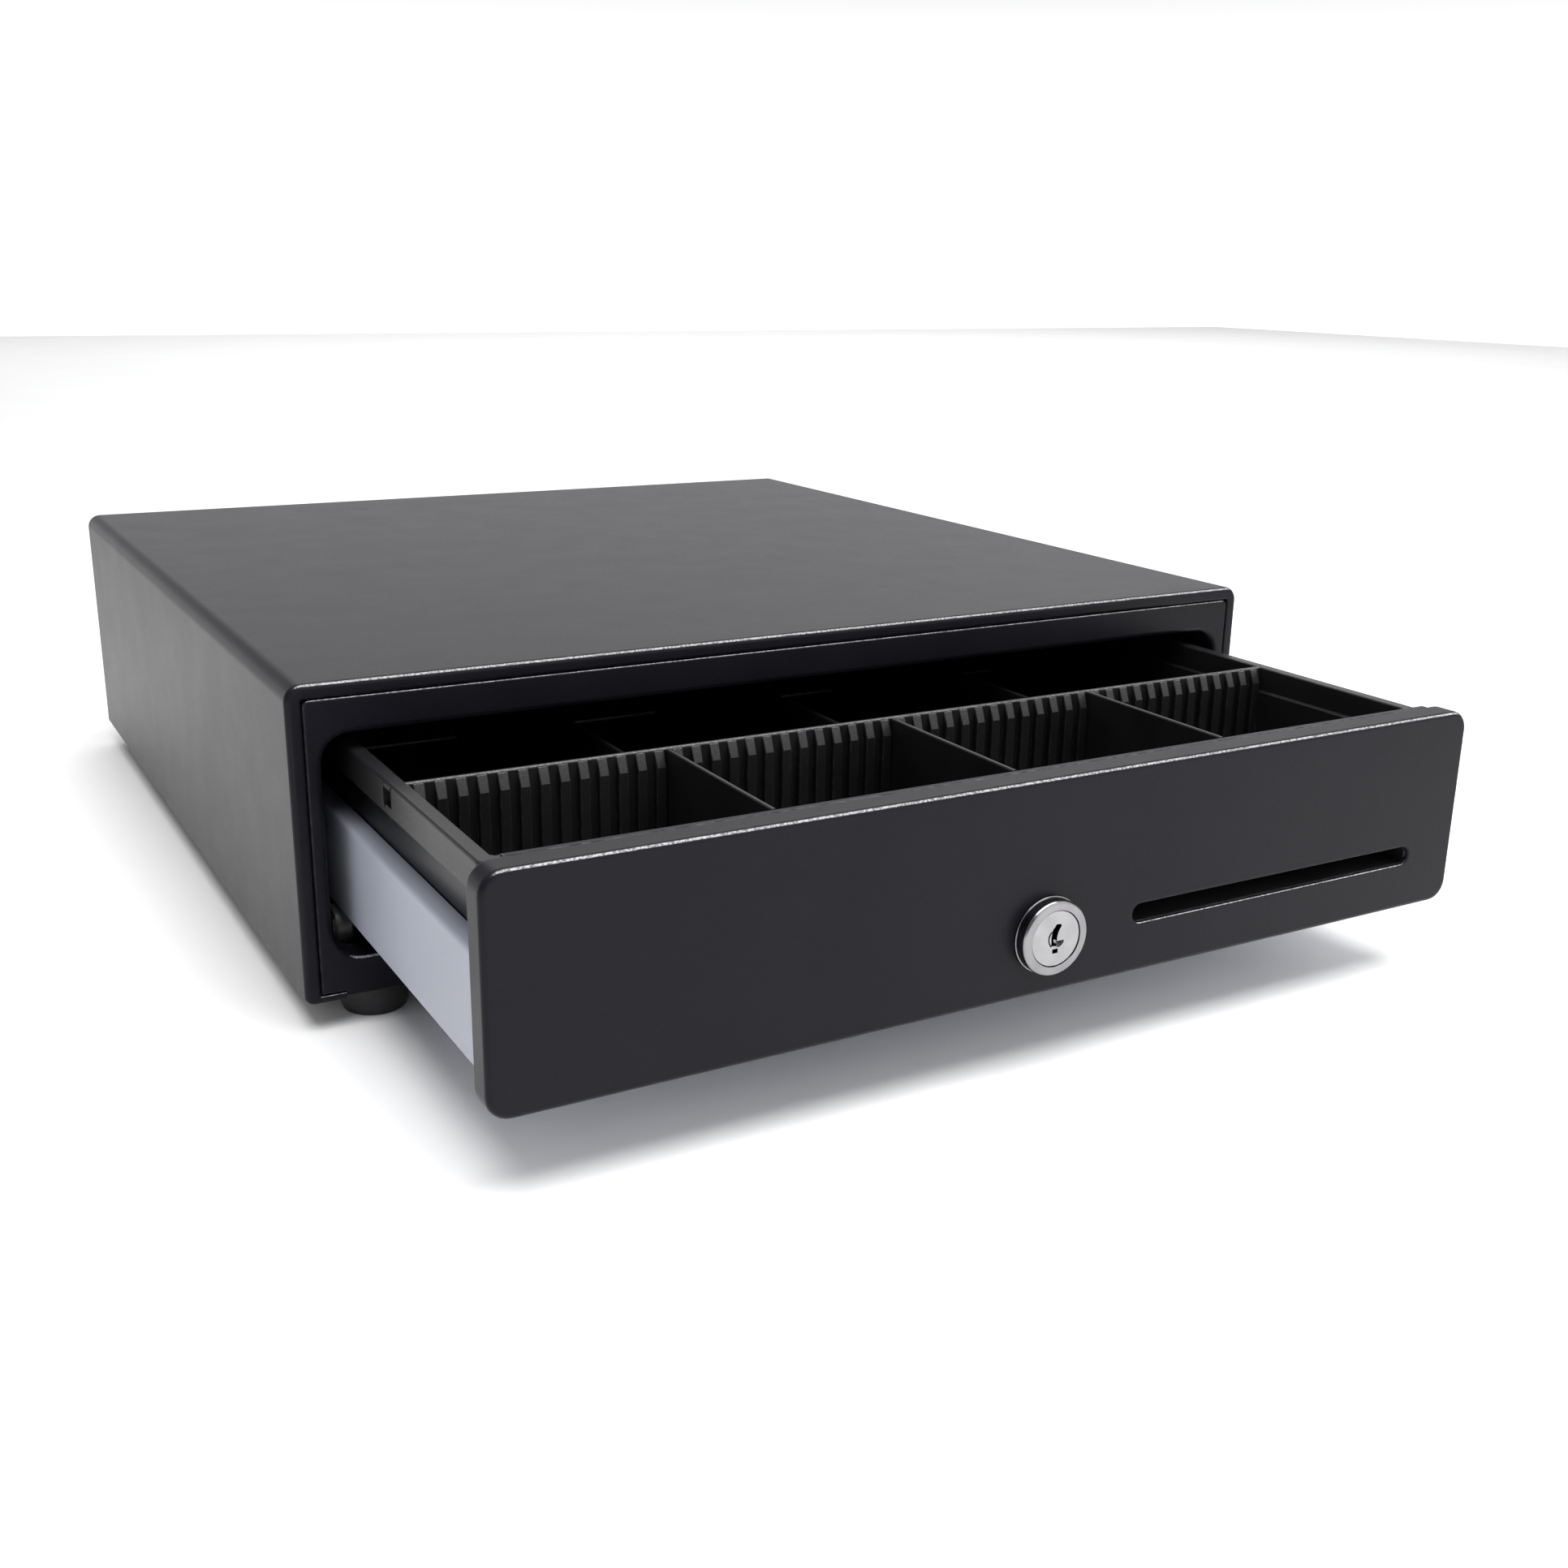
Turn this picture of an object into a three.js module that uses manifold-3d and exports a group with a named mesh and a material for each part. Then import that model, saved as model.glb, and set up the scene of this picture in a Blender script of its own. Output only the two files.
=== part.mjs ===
// Cash drawer: a steel housing on rubber feet, with a roller-mounted drawer that stands half open.
// Millimetres, +Z up. The drawer opens towards -Y, and the origin is under the middle of the whole object.
// The housing group has y = 0 at the housing's front face. The drawer group has y = 0 at the drawer's front
// face, so that a piece on the drawer is written down where it is when the drawer is shut.

import * as THREE from "three";
import { mergeVertices } from "three/addons/utils/BufferGeometryUtils.js";
import Module from "manifold-3d";

const wasm = await Module();
wasm.setup();

// ---------------------------------------------------------------- driving dimensions

const SHEET = 1.2; // steel sheet
const GAP = 0.3; // between pieces that touch
const PANEL_GAP = 0.4; // between the cover and the panels inside it
const BRACKET_SHEET = 1.5; // thicker strip of the small brackets

const HALF_WIDTH = 205;
const DEPTH = 411;
const TOP = 122;
const COVER_BOTTOM = 10; // underside of the cover's returns
const BASE_BOTTOM = 11.2; // underside of the base pan
const BASE_TOP = BASE_BOTTOM + SHEET;
const ON_BASE = BASE_TOP + GAP; // where pieces stand on the base pan
const COVER_RADIUS = 6;
const RIM = 5.3; // width of the cover's front rim
const RETURN_WIDTH = 14; // how far the cover folds in under the base
const RETURN_RIM = 2.9; // height of the rim along the front of those returns
const GROOVE = 0.5; // shadow line between rim and bezel

const OPENING = { halfWidth: 194.2, bottom: 25, top: 104, radius: 10 };
const BEZEL_LIP = 12;
const FOOT = { x: 177.5, front: 15, rear: 396, radius: 12.2 };

const OPEN = 137.5; // how far the drawer stands open
const TRAVEL = 275; // from shut to fully open
const LOCK_PROUD = 5;
const LOCK_HOLE = 9.8;
const FRONT = { halfWidth: 190, bottom: 27.2, top: 100.8, radius: 7.5, depth: 9.6 };
const SLOT = { left: 36, right: 167, bottom: 45, top: 51.6 };

const TRAY = { halfWidth: 186.5, bottom: 34.8, top: 70.9, flange: 7, front: 1.6, rear: 340 };
const TRAY_FLOOR = TRAY.bottom + SHEET;
const ON_TRAY = TRAY_FLOOR + GAP;

const TILL = {
  halfWidth: 184.5, innerHalf: 179, tubHalf: 177.3, front: 13.6, rear: 335,
  top: 98, bandBottom: 87, floor: 60, thickness: 1.8, crossWall: 95.5,
};
const DIVIDER_X = [-89.5, 0, 89.5];
const COMB = { pitch: 6.885, count: 52, rib: 3.6, depth: 2.5, leadIn: 5.4 };

const LOCK_Z = 48.3;
const CRANK_RADIUS = 7.5;
const LOCK_FLANGE_RADIUS = 12.8;

const ROLLER = { radius: 8.5, z: 50, y: 325, inner: 191.8, outer: 199.8 };
const FRONT_ROLLER = { radius: 8, y: 28, inner: 182.2, outer: 188.2 };
const AXLE_RADIUS = 2.4;

const MECHANISM_REAR = 398; // rear edge of what stands on the base pan behind the drawer
const DECK = 32; // underside of the bridge that carries the latch and solenoid
const ON_DECK = DECK + BRACKET_SHEET + GAP;
const LATCH = { x: 0, y: 374, low: 46, high: 49, released: THREE.MathUtils.degToRad(-18) };
const TAIL_RADIUS = 13; // latch pivot to plunger pin
const PLUNGER_Y = LATCH.y + TAIL_RADIUS * (1 + Math.cos(LATCH.released)) / 2;
const SOLENOID = { left: 22, right: 62, top: 59.5, half: 11.5, strap: 2, winding: 9.6, flange: 11 };
const EJECTOR = { x: 110, z: 50, head: 330.5, headThickness: 5.5, guideFront: 352, guideRear: 403, half: 8 };
const SWITCH = { left: -27.5, right: -16.8, front: 350, rear: 370, bottom: 44, top: 50.4 };
const CLIP = { y: 322, z: 90, length: 80, width: 46, rod: 1.5, drop: THREE.MathUtils.degToRad(20) };
const JACK = { left: -130, right: -114, bottom: 54, top: 70, front: 396, face: 410.4 };
const BOLT = { half: 8, front: 31, rear: 32.7, bottom: 33, shoulder: 48, top: 57.6, wide: 12.5 };

const HOUSING_FRONT_Y = (OPEN + LOCK_PROUD - DEPTH) / 2;

// ---------------------------------------------------------------- materials

const material = (color, roughness, metalness) =>
  new THREE.MeshStandardMaterial({ color, roughness, metalness });

const blackCoat = material(0x26262a, 0.45, 0.1);
const greySteel = material(0xa9aebb, 0.42, 0.5);
const zincSteel = material(0xb4b6ba, 0.35, 0.85);
const chrome = material(0xd4d5d8, 0.14, 1);
const blackPlastic = material(0x18181a, 0.55, 0);
const rubber = material(0x1c1c22, 0.85, 0);
const nylon = material(0x3c3c3e, 0.45, 0);
const springSteel = material(0x9a9ca1, 0.3, 0.9);
const copper = material(0x7e3a1c, 0.4, 0.4);

// ---------------------------------------------------------------- shape helpers

// A closed three.js geometry as a solid that can be joined and cut.
function solid(geometry) {
  const bare = geometry.index ? geometry.toNonIndexed() : geometry.clone();
  bare.deleteAttribute("normal");
  bare.deleteAttribute("uv");
  const merged = mergeVertices(bare, 1e-4);
  const mesh = new wasm.Mesh({
    numProp: 3,
    vertProperties: merged.attributes.position.array,
    triVerts: new Uint32Array(merged.index.array),
  });
  return new wasm.Manifold(mesh);
}

function join(first, ...others) {
  return others.reduce((whole, other) => whole.add(other), first);
}

function cut(whole, ...tools) {
  return tools.reduce((rest, tool) => rest.subtract(tool), whole);
}

function geometryOf(shape) {
  const { vertProperties, triVerts } = shape.getMesh();
  const geometry = new THREE.BufferGeometry();
  geometry.setAttribute("position", new THREE.BufferAttribute(vertProperties, 3));
  geometry.setIndex(new THREE.BufferAttribute(triVerts, 1));
  geometry.computeVertexNormals();
  return geometry;
}

function block(x0, x1, y0, y1, z0, z1) {
  const geometry = new THREE.BoxGeometry(x1 - x0, y1 - y0, z1 - z0);
  geometry.translate((x0 + x1) / 2, (y0 + y1) / 2, (z0 + z1) / 2);
  return solid(geometry);
}

// A closed outline through straight-line points.
function outline(points) {
  return new THREE.Shape(points.map(([u, v]) => new THREE.Vector2(u, v)));
}

// A rectangle whose lower and upper corners may have different radii.
function roundedOutline(u0, u1, v0, v1, lower, upper = lower) {
  const shape = new THREE.Shape();
  shape.absarc(u1 - lower, v0 + lower, lower, -Math.PI / 2, 0);
  shape.absarc(u1 - upper, v1 - upper, upper, 0, Math.PI / 2);
  shape.absarc(u0 + upper, v1 - upper, upper, Math.PI / 2, Math.PI);
  shape.absarc(u0 + lower, v0 + lower, lower, Math.PI, Math.PI * 1.5);
  shape.closePath();
  return shape;
}

const AXES = {
  x: [new THREE.Vector3(0, 1, 0), new THREE.Vector3(0, 0, 1), new THREE.Vector3(1, 0, 0)],
  y: [new THREE.Vector3(1, 0, 0), new THREE.Vector3(0, 0, 1), new THREE.Vector3(0, -1, 0)],
};

// An outline of (x, y) from z0 to z1.
function prismZ(shape, z0, z1, curveSegments = 3) {
  const options = { depth: z1 - z0, bevelEnabled: false, curveSegments };
  const geometry = new THREE.ExtrudeGeometry(shape, options);
  geometry.translate(0, 0, z0);
  return solid(geometry);
}

// An outline of (y, z) from x0 to x1.
function prismX(shape, x0, x1, curveSegments = 3) {
  const options = { depth: x1 - x0, bevelEnabled: false, curveSegments };
  const geometry = new THREE.ExtrudeGeometry(shape, options);
  geometry.applyMatrix4(new THREE.Matrix4().makeBasis(...AXES.x));
  geometry.translate(x0, 0, 0);
  return solid(geometry);
}

// An outline of (x, z) from y0 to y1.
function prismY(shape, y0, y1, curveSegments = 3) {
  const options = { depth: y1 - y0, bevelEnabled: false, curveSegments };
  const geometry = new THREE.ExtrudeGeometry(shape, options);
  geometry.applyMatrix4(new THREE.Matrix4().makeBasis(...AXES.y));
  geometry.translate(0, y1, 0);
  return solid(geometry);
}

function rodX(x0, x1, y, z, radius, sides = 16) {
  const geometry = new THREE.CylinderGeometry(radius, radius, x1 - x0, sides);
  geometry.rotateZ(Math.PI / 2);
  geometry.translate((x0 + x1) / 2, y, z);
  return solid(geometry);
}

function rodY(x, y0, y1, z, radius, sides = 16) {
  const geometry = new THREE.CylinderGeometry(radius, radius, y1 - y0, sides);
  geometry.translate(x, (y0 + y1) / 2, z);
  return solid(geometry);
}

function rodZ(x, y, z0, z1, radius, sides = 16) {
  const geometry = new THREE.CylinderGeometry(radius, radius, z1 - z0, sides);
  geometry.rotateX(Math.PI / 2);
  geometry.translate(x, y, (z0 + z1) / 2);
  return solid(geometry);
}

// A helical wire from start to end, which lie on the helix's axis.
function coilSpring(start, end, { radius, wire, turns }) {
  const axis = end.clone().sub(start);
  const across = new THREE.Vector3(0, 0, 1);
  const other = axis.clone().normalize().cross(across);
  const perTurn = 10;
  const steps = turns * perTurn;
  const points = Array.from({ length: steps + 1 }, (_, i) => {
    const turn = (i / perTurn) * Math.PI * 2;
    return start.clone()
      .addScaledVector(axis, i / steps)
      .addScaledVector(across, radius * Math.cos(turn))
      .addScaledVector(other, radius * Math.sin(turn));
  });
  const section = new THREE.Shape().absarc(0, 0, wire, 0, Math.PI * 2);
  const path = new THREE.CatmullRomCurve3(points);
  return solid(new THREE.ExtrudeGeometry(section, { steps, extrudePath: path, curveSegments: 3 }));
}

// An insulated lead along a smooth route.
function lead(points, radius) {
  const path = new THREE.CatmullRomCurve3(points.map((p) => new THREE.Vector3(...p)));
  const section = new THREE.Shape().absarc(0, 0, radius, 0, Math.PI * 2);
  return solid(new THREE.ExtrudeGeometry(section, { steps: 22, extrudePath: path, curveSegments: 4 }));
}

const group = new THREE.Group();
const housing = new THREE.Group();
const drawer = new THREE.Group();
housing.position.y = HOUSING_FRONT_Y;
drawer.position.y = HOUSING_FRONT_Y - OPEN;
group.add(housing, drawer);

function add(parent, name, shape, look) {
  const mesh = new THREE.Mesh(geometryOf(shape), look);
  mesh.name = name;
  parent.add(mesh);
  return mesh;
}

const SIDES = [["left", -1], ["right", 1]];

// A block on one side of the object: near and far are distances from the middle plane.
function sideBlock(side, near, far, y0, y1, z0, z1) {
  return block(Math.min(side * near, side * far), Math.max(side * near, side * far), y0, y1, z0, z1);
}

function sideRod(side, near, far, y, z, radius, sides) {
  return rodX(Math.min(side * near, side * far), Math.max(side * near, side * far), y, z, radius, sides);
}

// ---------------------------------------------------------------- housing shell

// A sheet folded over the top and sides, with narrow returns under the base and a rim round its front edge.
function housingCover() {
  const shell = (inset) => roundedOutline(
    inset - HALF_WIDTH, HALF_WIDTH - inset, COVER_BOTTOM + inset, TOP - inset, 3 - inset, COVER_RADIUS - inset);
  const rimInner = HALF_WIDTH - RIM;
  const rimBottom = COVER_BOTTOM + RETURN_RIM;
  const returnEdge = HALF_WIDTH - RETURN_WIDTH;
  return cut(
    prismY(shell(0), 0, DEPTH),
    prismY(shell(SHEET), SHEET, DEPTH + 1),
    prismY(roundedOutline(-rimInner, rimInner, rimBottom, TOP - RIM, 0.5, 2), -1, SHEET + 1),
    block(-returnEdge, returnEdge, -1, SHEET + 1, COVER_BOTTOM - 1, rimBottom + 1),
    block(-returnEdge, returnEdge, -1, DEPTH + 1, COVER_BOTTOM - 1, BASE_BOTTOM),
  );
}

function basePan() {
  const half = HALF_WIDTH - SHEET - PANEL_GAP;
  const upstandTop = 25;
  const front = SHEET + PANEL_GAP;
  const rear = DEPTH - 0.5;
  return cut(
    prismY(roundedOutline(-half, half, BASE_BOTTOM, upstandTop, 1.8, 0.5), front, rear),
    block(SHEET - half, half - SHEET, front - 1, rear + 1, BASE_TOP, upstandTop + 1),
    block(-half - 1, half + 1, MECHANISM_REAR, rear + 1, BASE_TOP, upstandTop + 1),
  );
}

function frontBezel() {
  const half = HALF_WIDTH - RIM - GROOVE;
  const { halfWidth, bottom, top, radius } = OPENING;
  const plate = prismY(roundedOutline(-half, half, BASE_BOTTOM, TOP - RIM - GROOVE, 0.5, 2), 0, SHEET);
  const lipOutline = roundedOutline(
    -halfWidth - SHEET, halfWidth + SHEET, bottom - SHEET, top + SHEET, radius + SHEET);
  const lip = prismY(lipOutline, SHEET / 2, BEZEL_LIP);
  const hole = prismY(roundedOutline(-halfWidth, halfWidth, bottom, top, radius), -1, BEZEL_LIP + 1);
  const notches = SIDES.map(([, side]) => sideBlock(
    side, HALF_WIDTH - RETURN_WIDTH - GROOVE, HALF_WIDTH, -1, SHEET + 1,
    BASE_BOTTOM - 1, COVER_BOTTOM + RETURN_RIM + GROOVE));
  return cut(join(plate, lip), hole, ...notches);
}

function rearPanel() {
  const half = HALF_WIDTH - SHEET - PANEL_GAP;
  const bottom = ON_BASE;
  const top = TOP - SHEET - PANEL_GAP;
  const plateBack = DEPTH - SHEET;
  const flangeFront = MECHANISM_REAR + 1;
  const radius = 4;
  const pan = prismY(roundedOutline(-half, half, bottom, top, 0.5, radius), flangeFront, plateBack);
  const hollow = roundedOutline(SHEET - half, half - SHEET, bottom + SHEET, top - SHEET, 0.5, radius - SHEET);
  const socket = block(
    JACK.left - PANEL_GAP, JACK.right + PANEL_GAP, flangeFront + 1, DEPTH, JACK.bottom - PANEL_GAP,
    JACK.top + PANEL_GAP);
  return cut(pan, prismY(hollow, flangeFront - 1, plateBack - SHEET), socket);
}

// A rubber foot with a recess for its screw.
function foot(x, y) {
  const top = BASE_BOTTOM - GAP;
  const recess = { radius: 5, depth: 6 };
  const { radius } = FOOT;
  const profile = [
    [recess.radius, recess.depth], [recess.radius, 0], [radius - 1.2, 0], [radius - 0.4, 1],
    [radius, top - 0.6], [radius - 0.6, top], [0, top], [0, recess.depth],
  ];
  const geometry = new THREE.LatheGeometry(
    [...profile, profile[0]].map(([r, h]) => new THREE.Vector2(r, h)), 20);
  geometry.rotateX(Math.PI / 2);
  geometry.translate(x, y, 0);
  return solid(geometry);
}

add(housing, "housing_cover", housingCover(), blackCoat);
add(housing, "base_pan", basePan(), blackCoat);
add(housing, "front_bezel", frontBezel(), blackCoat);
add(housing, "rear_panel", rearPanel(), blackCoat);
for (const [name, side] of SIDES) {
  add(housing, `foot_front_${name}`, foot(side * FOOT.x, FOOT.front), rubber);
  add(housing, `foot_rear_${name}`, foot(side * FOOT.x, FOOT.rear), rubber);
}

// ---------------------------------------------------------------- slides

// A C-channel on the housing's side wall, with a stop tab at its front end.
function rail(side) {
  const inside = ROLLER.radius + 0.35;
  const outside = inside + SHEET;
  const web = HALF_WIDTH - SHEET - GAP;
  const lip = ROLLER.inner - 1.2;
  const front = ROLLER.y - TRAVEL - ROLLER.radius - 2.5;
  const rear = MECHANISM_REAR - 2;
  return cut(
    sideBlock(side, lip, web, front, rear, ROLLER.z - outside, ROLLER.z + outside),
    sideBlock(side, 0, web - SHEET, front + SHEET, rear + 1, ROLLER.z - inside, ROLLER.z + inside),
  );
}

// A foot plate, an upright and the pin that the front roller turns on.
function rollerBracket(side) {
  const { y, inner, outer } = FRONT_ROLLER;
  const upright = outer + 1.2;
  const half = 8;
  const top = frontRollerZ + 5.5;
  return join(
    sideBlock(side, inner - 4, upright + SHEET, y - half, y + half, ON_BASE, ON_BASE + SHEET),
    sideBlock(side, upright, upright + SHEET, y - half, y + half, ON_BASE, top),
    sideRod(side, inner - 2, upright + 0.5, y, frontRollerZ, AXLE_RADIUS),
  );
}

// A stepped stud through the drawer tray's side, with its head inside.
function rearAxle(side) {
  const wall = TRAY.halfWidth;
  const headRadius = 4.5;
  const collarRadius = 4;
  const headEnd = wall - SHEET - 2.1;
  return join(
    sideRod(side, headEnd, wall - SHEET - GAP, ROLLER.y, ROLLER.z, headRadius),
    sideRod(side, headEnd + 0.1, ROLLER.outer + 1.4, ROLLER.y, ROLLER.z, AXLE_RADIUS),
    sideRod(side, wall + GAP, ROLLER.inner - GAP, ROLLER.y, ROLLER.z, collarRadius),
  );
}

// A roller with a round tread and a plain bore.
function roller(side, { inner, outer, radius, y }, z) {
  const half = (outer - inner) / 2;
  const bore = AXLE_RADIUS + GAP;
  const chamfer = 0.8;
  const tread = [[bore, -half], [radius - chamfer, -half], [radius, chamfer - half], [radius, half - chamfer],
    [radius - chamfer, half], [bore, half], [bore, -half]];
  const geometry = new THREE.LatheGeometry(tread.map(([r, h]) => new THREE.Vector2(r, h)), 20);
  geometry.rotateZ(Math.PI / 2);
  geometry.translate(side * (inner + outer) / 2, y, z);
  return solid(geometry);
}

const frontRollerZ = TRAY.bottom - GAP - FRONT_ROLLER.radius;
for (const [name, side] of SIDES) {
  add(housing, `rail_${name}`, rail(side), zincSteel);
  add(housing, `roller_bracket_${name}`, rollerBracket(side), zincSteel);
  add(housing, `front_roller_${name}`, roller(side, FRONT_ROLLER, frontRollerZ), nylon);
  add(drawer, `rear_axle_${name}`, rearAxle(side), zincSteel);
  add(drawer, `rear_roller_${name}`, roller(side, ROLLER, ROLLER.z), nylon);
}

// ---------------------------------------------------------------- latch, solenoid, ejector and switch

const PIVOT_RADIUS = 3;

// A low bridge on the base pan, with a boss for the latch's pivot and a block under the switch.
function latchBracket() {
  const left = -36;
  const right = 66;
  const front = SWITCH.front;
  const rear = MECHANISM_REAR;
  const strip = BRACKET_SHEET;
  const foot = 10;
  const bossRadius = 8;
  return cut(
    join(
      block(left, right, front, rear, DECK, DECK + strip),
      block(left, left + strip, front, rear, ON_BASE, DECK + strip),
      block(left, left + strip + foot, front, rear, ON_BASE, ON_BASE + strip),
      block(right - strip, right, front, rear, ON_BASE, DECK + strip),
      block(right - strip - foot, right, front, rear, ON_BASE, ON_BASE + strip),
      rodZ(LATCH.x, LATCH.y, DECK + 1, LATCH.low - GAP, bossRadius, 20),
      block(
        SWITCH.left - 0.5, SWITCH.right + 0.8, SWITCH.front + 2, SWITCH.rear - 1, DECK + 1, SWITCH.bottom - GAP),
    ),
    rodZ(LATCH.x, LATCH.y, DECK - 1, LATCH.low, PIVOT_RADIUS + GAP),
  );
}

function latchPivotPin() {
  const { x, y, high } = LATCH;
  const head = { radius: 5, thickness: 2 };
  return join(
    rodZ(x, y, ON_DECK, high + 1, PIVOT_RADIUS),
    rodZ(x, y, high + GAP, high + GAP + head.thickness, head.radius),
  );
}

// The hook about its own pivot, as it lies when it holds the drawer shut.
function latchHook() {
  const half = 3.5;
  const nose = 10;
  const reach = 28;
  const eyeRadius = 7;
  const slotHalf = 2;
  const arm = outline([[-half, 0], [-half, -reach + 2], [-half + 2, -reach], [nose - 3, -reach + 1.5],
    [nose, -reach + 4], [half, -reach + 4], [half, 0]]);
  return cut(
    join(
      prismZ(arm, LATCH.low, LATCH.high),
      rodZ(0, 0, LATCH.low, LATCH.high, eyeRadius, 20),
      block(-half, half, 0, TAIL_RADIUS + 3, LATCH.low, LATCH.high),
    ),
    rodZ(0, 0, LATCH.low - 1, LATCH.high + 1, PIVOT_RADIUS + 0.25),
    block(-slotHalf, slotHalf, TAIL_RADIUS - 2.6, TAIL_RADIUS + 4, LATCH.low - 1, LATCH.high + 1),
  );
}

const PLUNGER_RADIUS = 4;
const plungerZ = (LATCH.low + LATCH.high) / 2;

function solenoidFrame() {
  const { left, right, top, half, strap } = SOLENOID;
  const front = PLUNGER_Y - half;
  const rear = PLUNGER_Y + half;
  return cut(
    join(
      block(left, right, front, rear, ON_DECK, ON_DECK + BRACKET_SHEET),
      block(left, left + strap, front, rear, ON_DECK, top),
      block(right - strap, right, front, rear, ON_DECK, top),
    ),
    rodX(left - 1, left + strap + 1, PLUNGER_Y, plungerZ, PLUNGER_RADIUS + 0.6),
  );
}

function solenoidCoil() {
  const { left, right, strap, winding, flange } = SOLENOID;
  const start = left + strap + GAP;
  const end = right - strap - GAP;
  const thickness = 2;
  return cut(
    join(
      rodX(start, end, PLUNGER_Y, plungerZ, winding, 24),
      rodX(start, start + thickness, PLUNGER_Y, plungerZ, flange, 24),
      rodX(end - thickness, end, PLUNGER_Y, plungerZ, flange, 24),
    ),
    rodX(start - 1, end + 1, PLUNGER_Y, plungerZ, PLUNGER_RADIUS + 0.4),
  );
}

const pinX = LATCH.x - TAIL_RADIUS * Math.sin(LATCH.released);
const forkEnd = pinX + 9;

// The plunger as it is when pulled in: a round core with a fork and a pin at the latch's tail.
function solenoidPlunger() {
  const half = 3.4;
  const prong = 2.5;
  const low = LATCH.low - GAP - prong;
  const high = LATCH.high + GAP + prong;
  const coreEnd = SOLENOID.right - 8;
  const forkBlock = (x0, x1, z0, z1) => block(x0, x1, PLUNGER_Y - half, PLUNGER_Y + half, z0, z1);
  return join(
    rodX(forkEnd - 1, coreEnd, PLUNGER_Y, plungerZ, PLUNGER_RADIUS),
    forkBlock(forkEnd - 3.4, forkEnd, low, high),
    forkBlock(pinX - 3, pinX + 6, low, low + prong),
    forkBlock(pinX - 3, pinX + 6, high - prong, high),
    rodZ(pinX, PLUNGER_Y, LATCH.low - 2, LATCH.high + 2, 1.4, 12),
  );
}

// The lever switch that the latch's arm presses while it is pulled aside.
function microswitchBody() {
  const { left, right, front, rear, bottom, top } = SWITCH;
  const terminal = (x) => block(x, x + 1.4, rear - 1, rear + 3.5, bottom + 1.5, top - 1.4);
  return join(
    block(left, right, front, rear, bottom, top),
    terminal(left + 1.5),
    terminal(right - 3.6),
  );
}

// A thin blade that leans out towards the latch, with a hinge barrel at its rear end.
function microswitchLever() {
  const bottom = 45.4;
  const top = 49;
  const blade = outline([[-14.9, 369.4], [-14.1, 369.4], [-11.2, 352.6], [-12, 352.4]]);
  return join(prismZ(blade, bottom, top), rodZ(-14.7, SWITCH.rear - 1, bottom, top, 1.1, 12));
}

const STEM_RADIUS = 3.6;

// A closed guide tube on a rib and a foot plate.
function ejectorGuide() {
  const { x, z, guideFront, guideRear, half } = EJECTOR;
  const rib = 2;
  const foot = { half: 14, thickness: 2, front: guideFront + 6 };
  return cut(
    join(
      block(x - half, x + half, guideFront, guideRear, z - half, z + half),
      block(x - rib, x + rib, foot.front, MECHANISM_REAR, ON_BASE, z - half + 1),
      block(x - foot.half, x + foot.half, foot.front, MECHANISM_REAR, ON_BASE, ON_BASE + foot.thickness),
    ),
    rodY(x, guideFront - 1, guideRear - 3, z, STEM_RADIUS + 0.6),
  );
}

// The spring-loaded pusher, half run out.
function ejectorPusher() {
  const { x, z, head, headThickness } = EJECTOR;
  const headRadius = 7;
  const length = 55;
  return join(
    rodY(x, head, head + headThickness, z, headRadius),
    rodY(x, head + headThickness - 0.5, head + length, z, STEM_RADIUS),
  );
}

// A modular telephone-style socket with a snap-in flange behind the panel.
function rjJack() {
  const { left, right, bottom, top, front, face } = JACK;
  const middle = (left + right) / 2;
  const flangeRear = DEPTH - 2 * SHEET - GAP;
  const socketEnd = face - 11;
  const socketHalf = 6;
  const catchHalf = 3.2;
  return cut(
    join(
      block(left, right, front, face, bottom, top),
      block(left - 3, right + 3, flangeRear - 1.8, flangeRear, bottom - 2, top + 2),
    ),
    block(middle - socketHalf, middle + socketHalf, socketEnd, face + 1, bottom + 5, top - 2.5),
    block(middle - catchHalf, middle + catchHalf, socketEnd, face + 1, bottom + 2.6, bottom + 6),
  );
}

// The hooked plate on the base pan that the lock's bolt drops behind.
function lockKeeper() {
  const half = 15;
  const front = 15;
  const rear = 28.4;
  const top = 31;
  return join(
    block(-half, half, front, rear, ON_BASE, ON_BASE + BRACKET_SHEET),
    block(-half, half, rear - BRACKET_SHEET, rear, ON_BASE, top),
  );
}

const latchParts = new THREE.Group();
latchParts.position.set(LATCH.x, LATCH.y, 0);
latchParts.rotation.z = LATCH.released;
housing.add(latchParts);

const plungerSpring = coilSpring(
  new THREE.Vector3(forkEnd + 1.2, PLUNGER_Y, plungerZ),
  new THREE.Vector3(SOLENOID.left - 1.2, PLUNGER_Y, plungerZ),
  { radius: 5.6, wire: 0.5, turns: 3 });
const ejectorSpring = coilSpring(
  new THREE.Vector3(EJECTOR.x, EJECTOR.head + EJECTOR.headThickness + 1.1, EJECTOR.z),
  new THREE.Vector3(EJECTOR.x, EJECTOR.guideFront - 1.1, EJECTOR.z),
  { radius: 5.4, wire: 0.6, turns: 4 });

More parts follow.
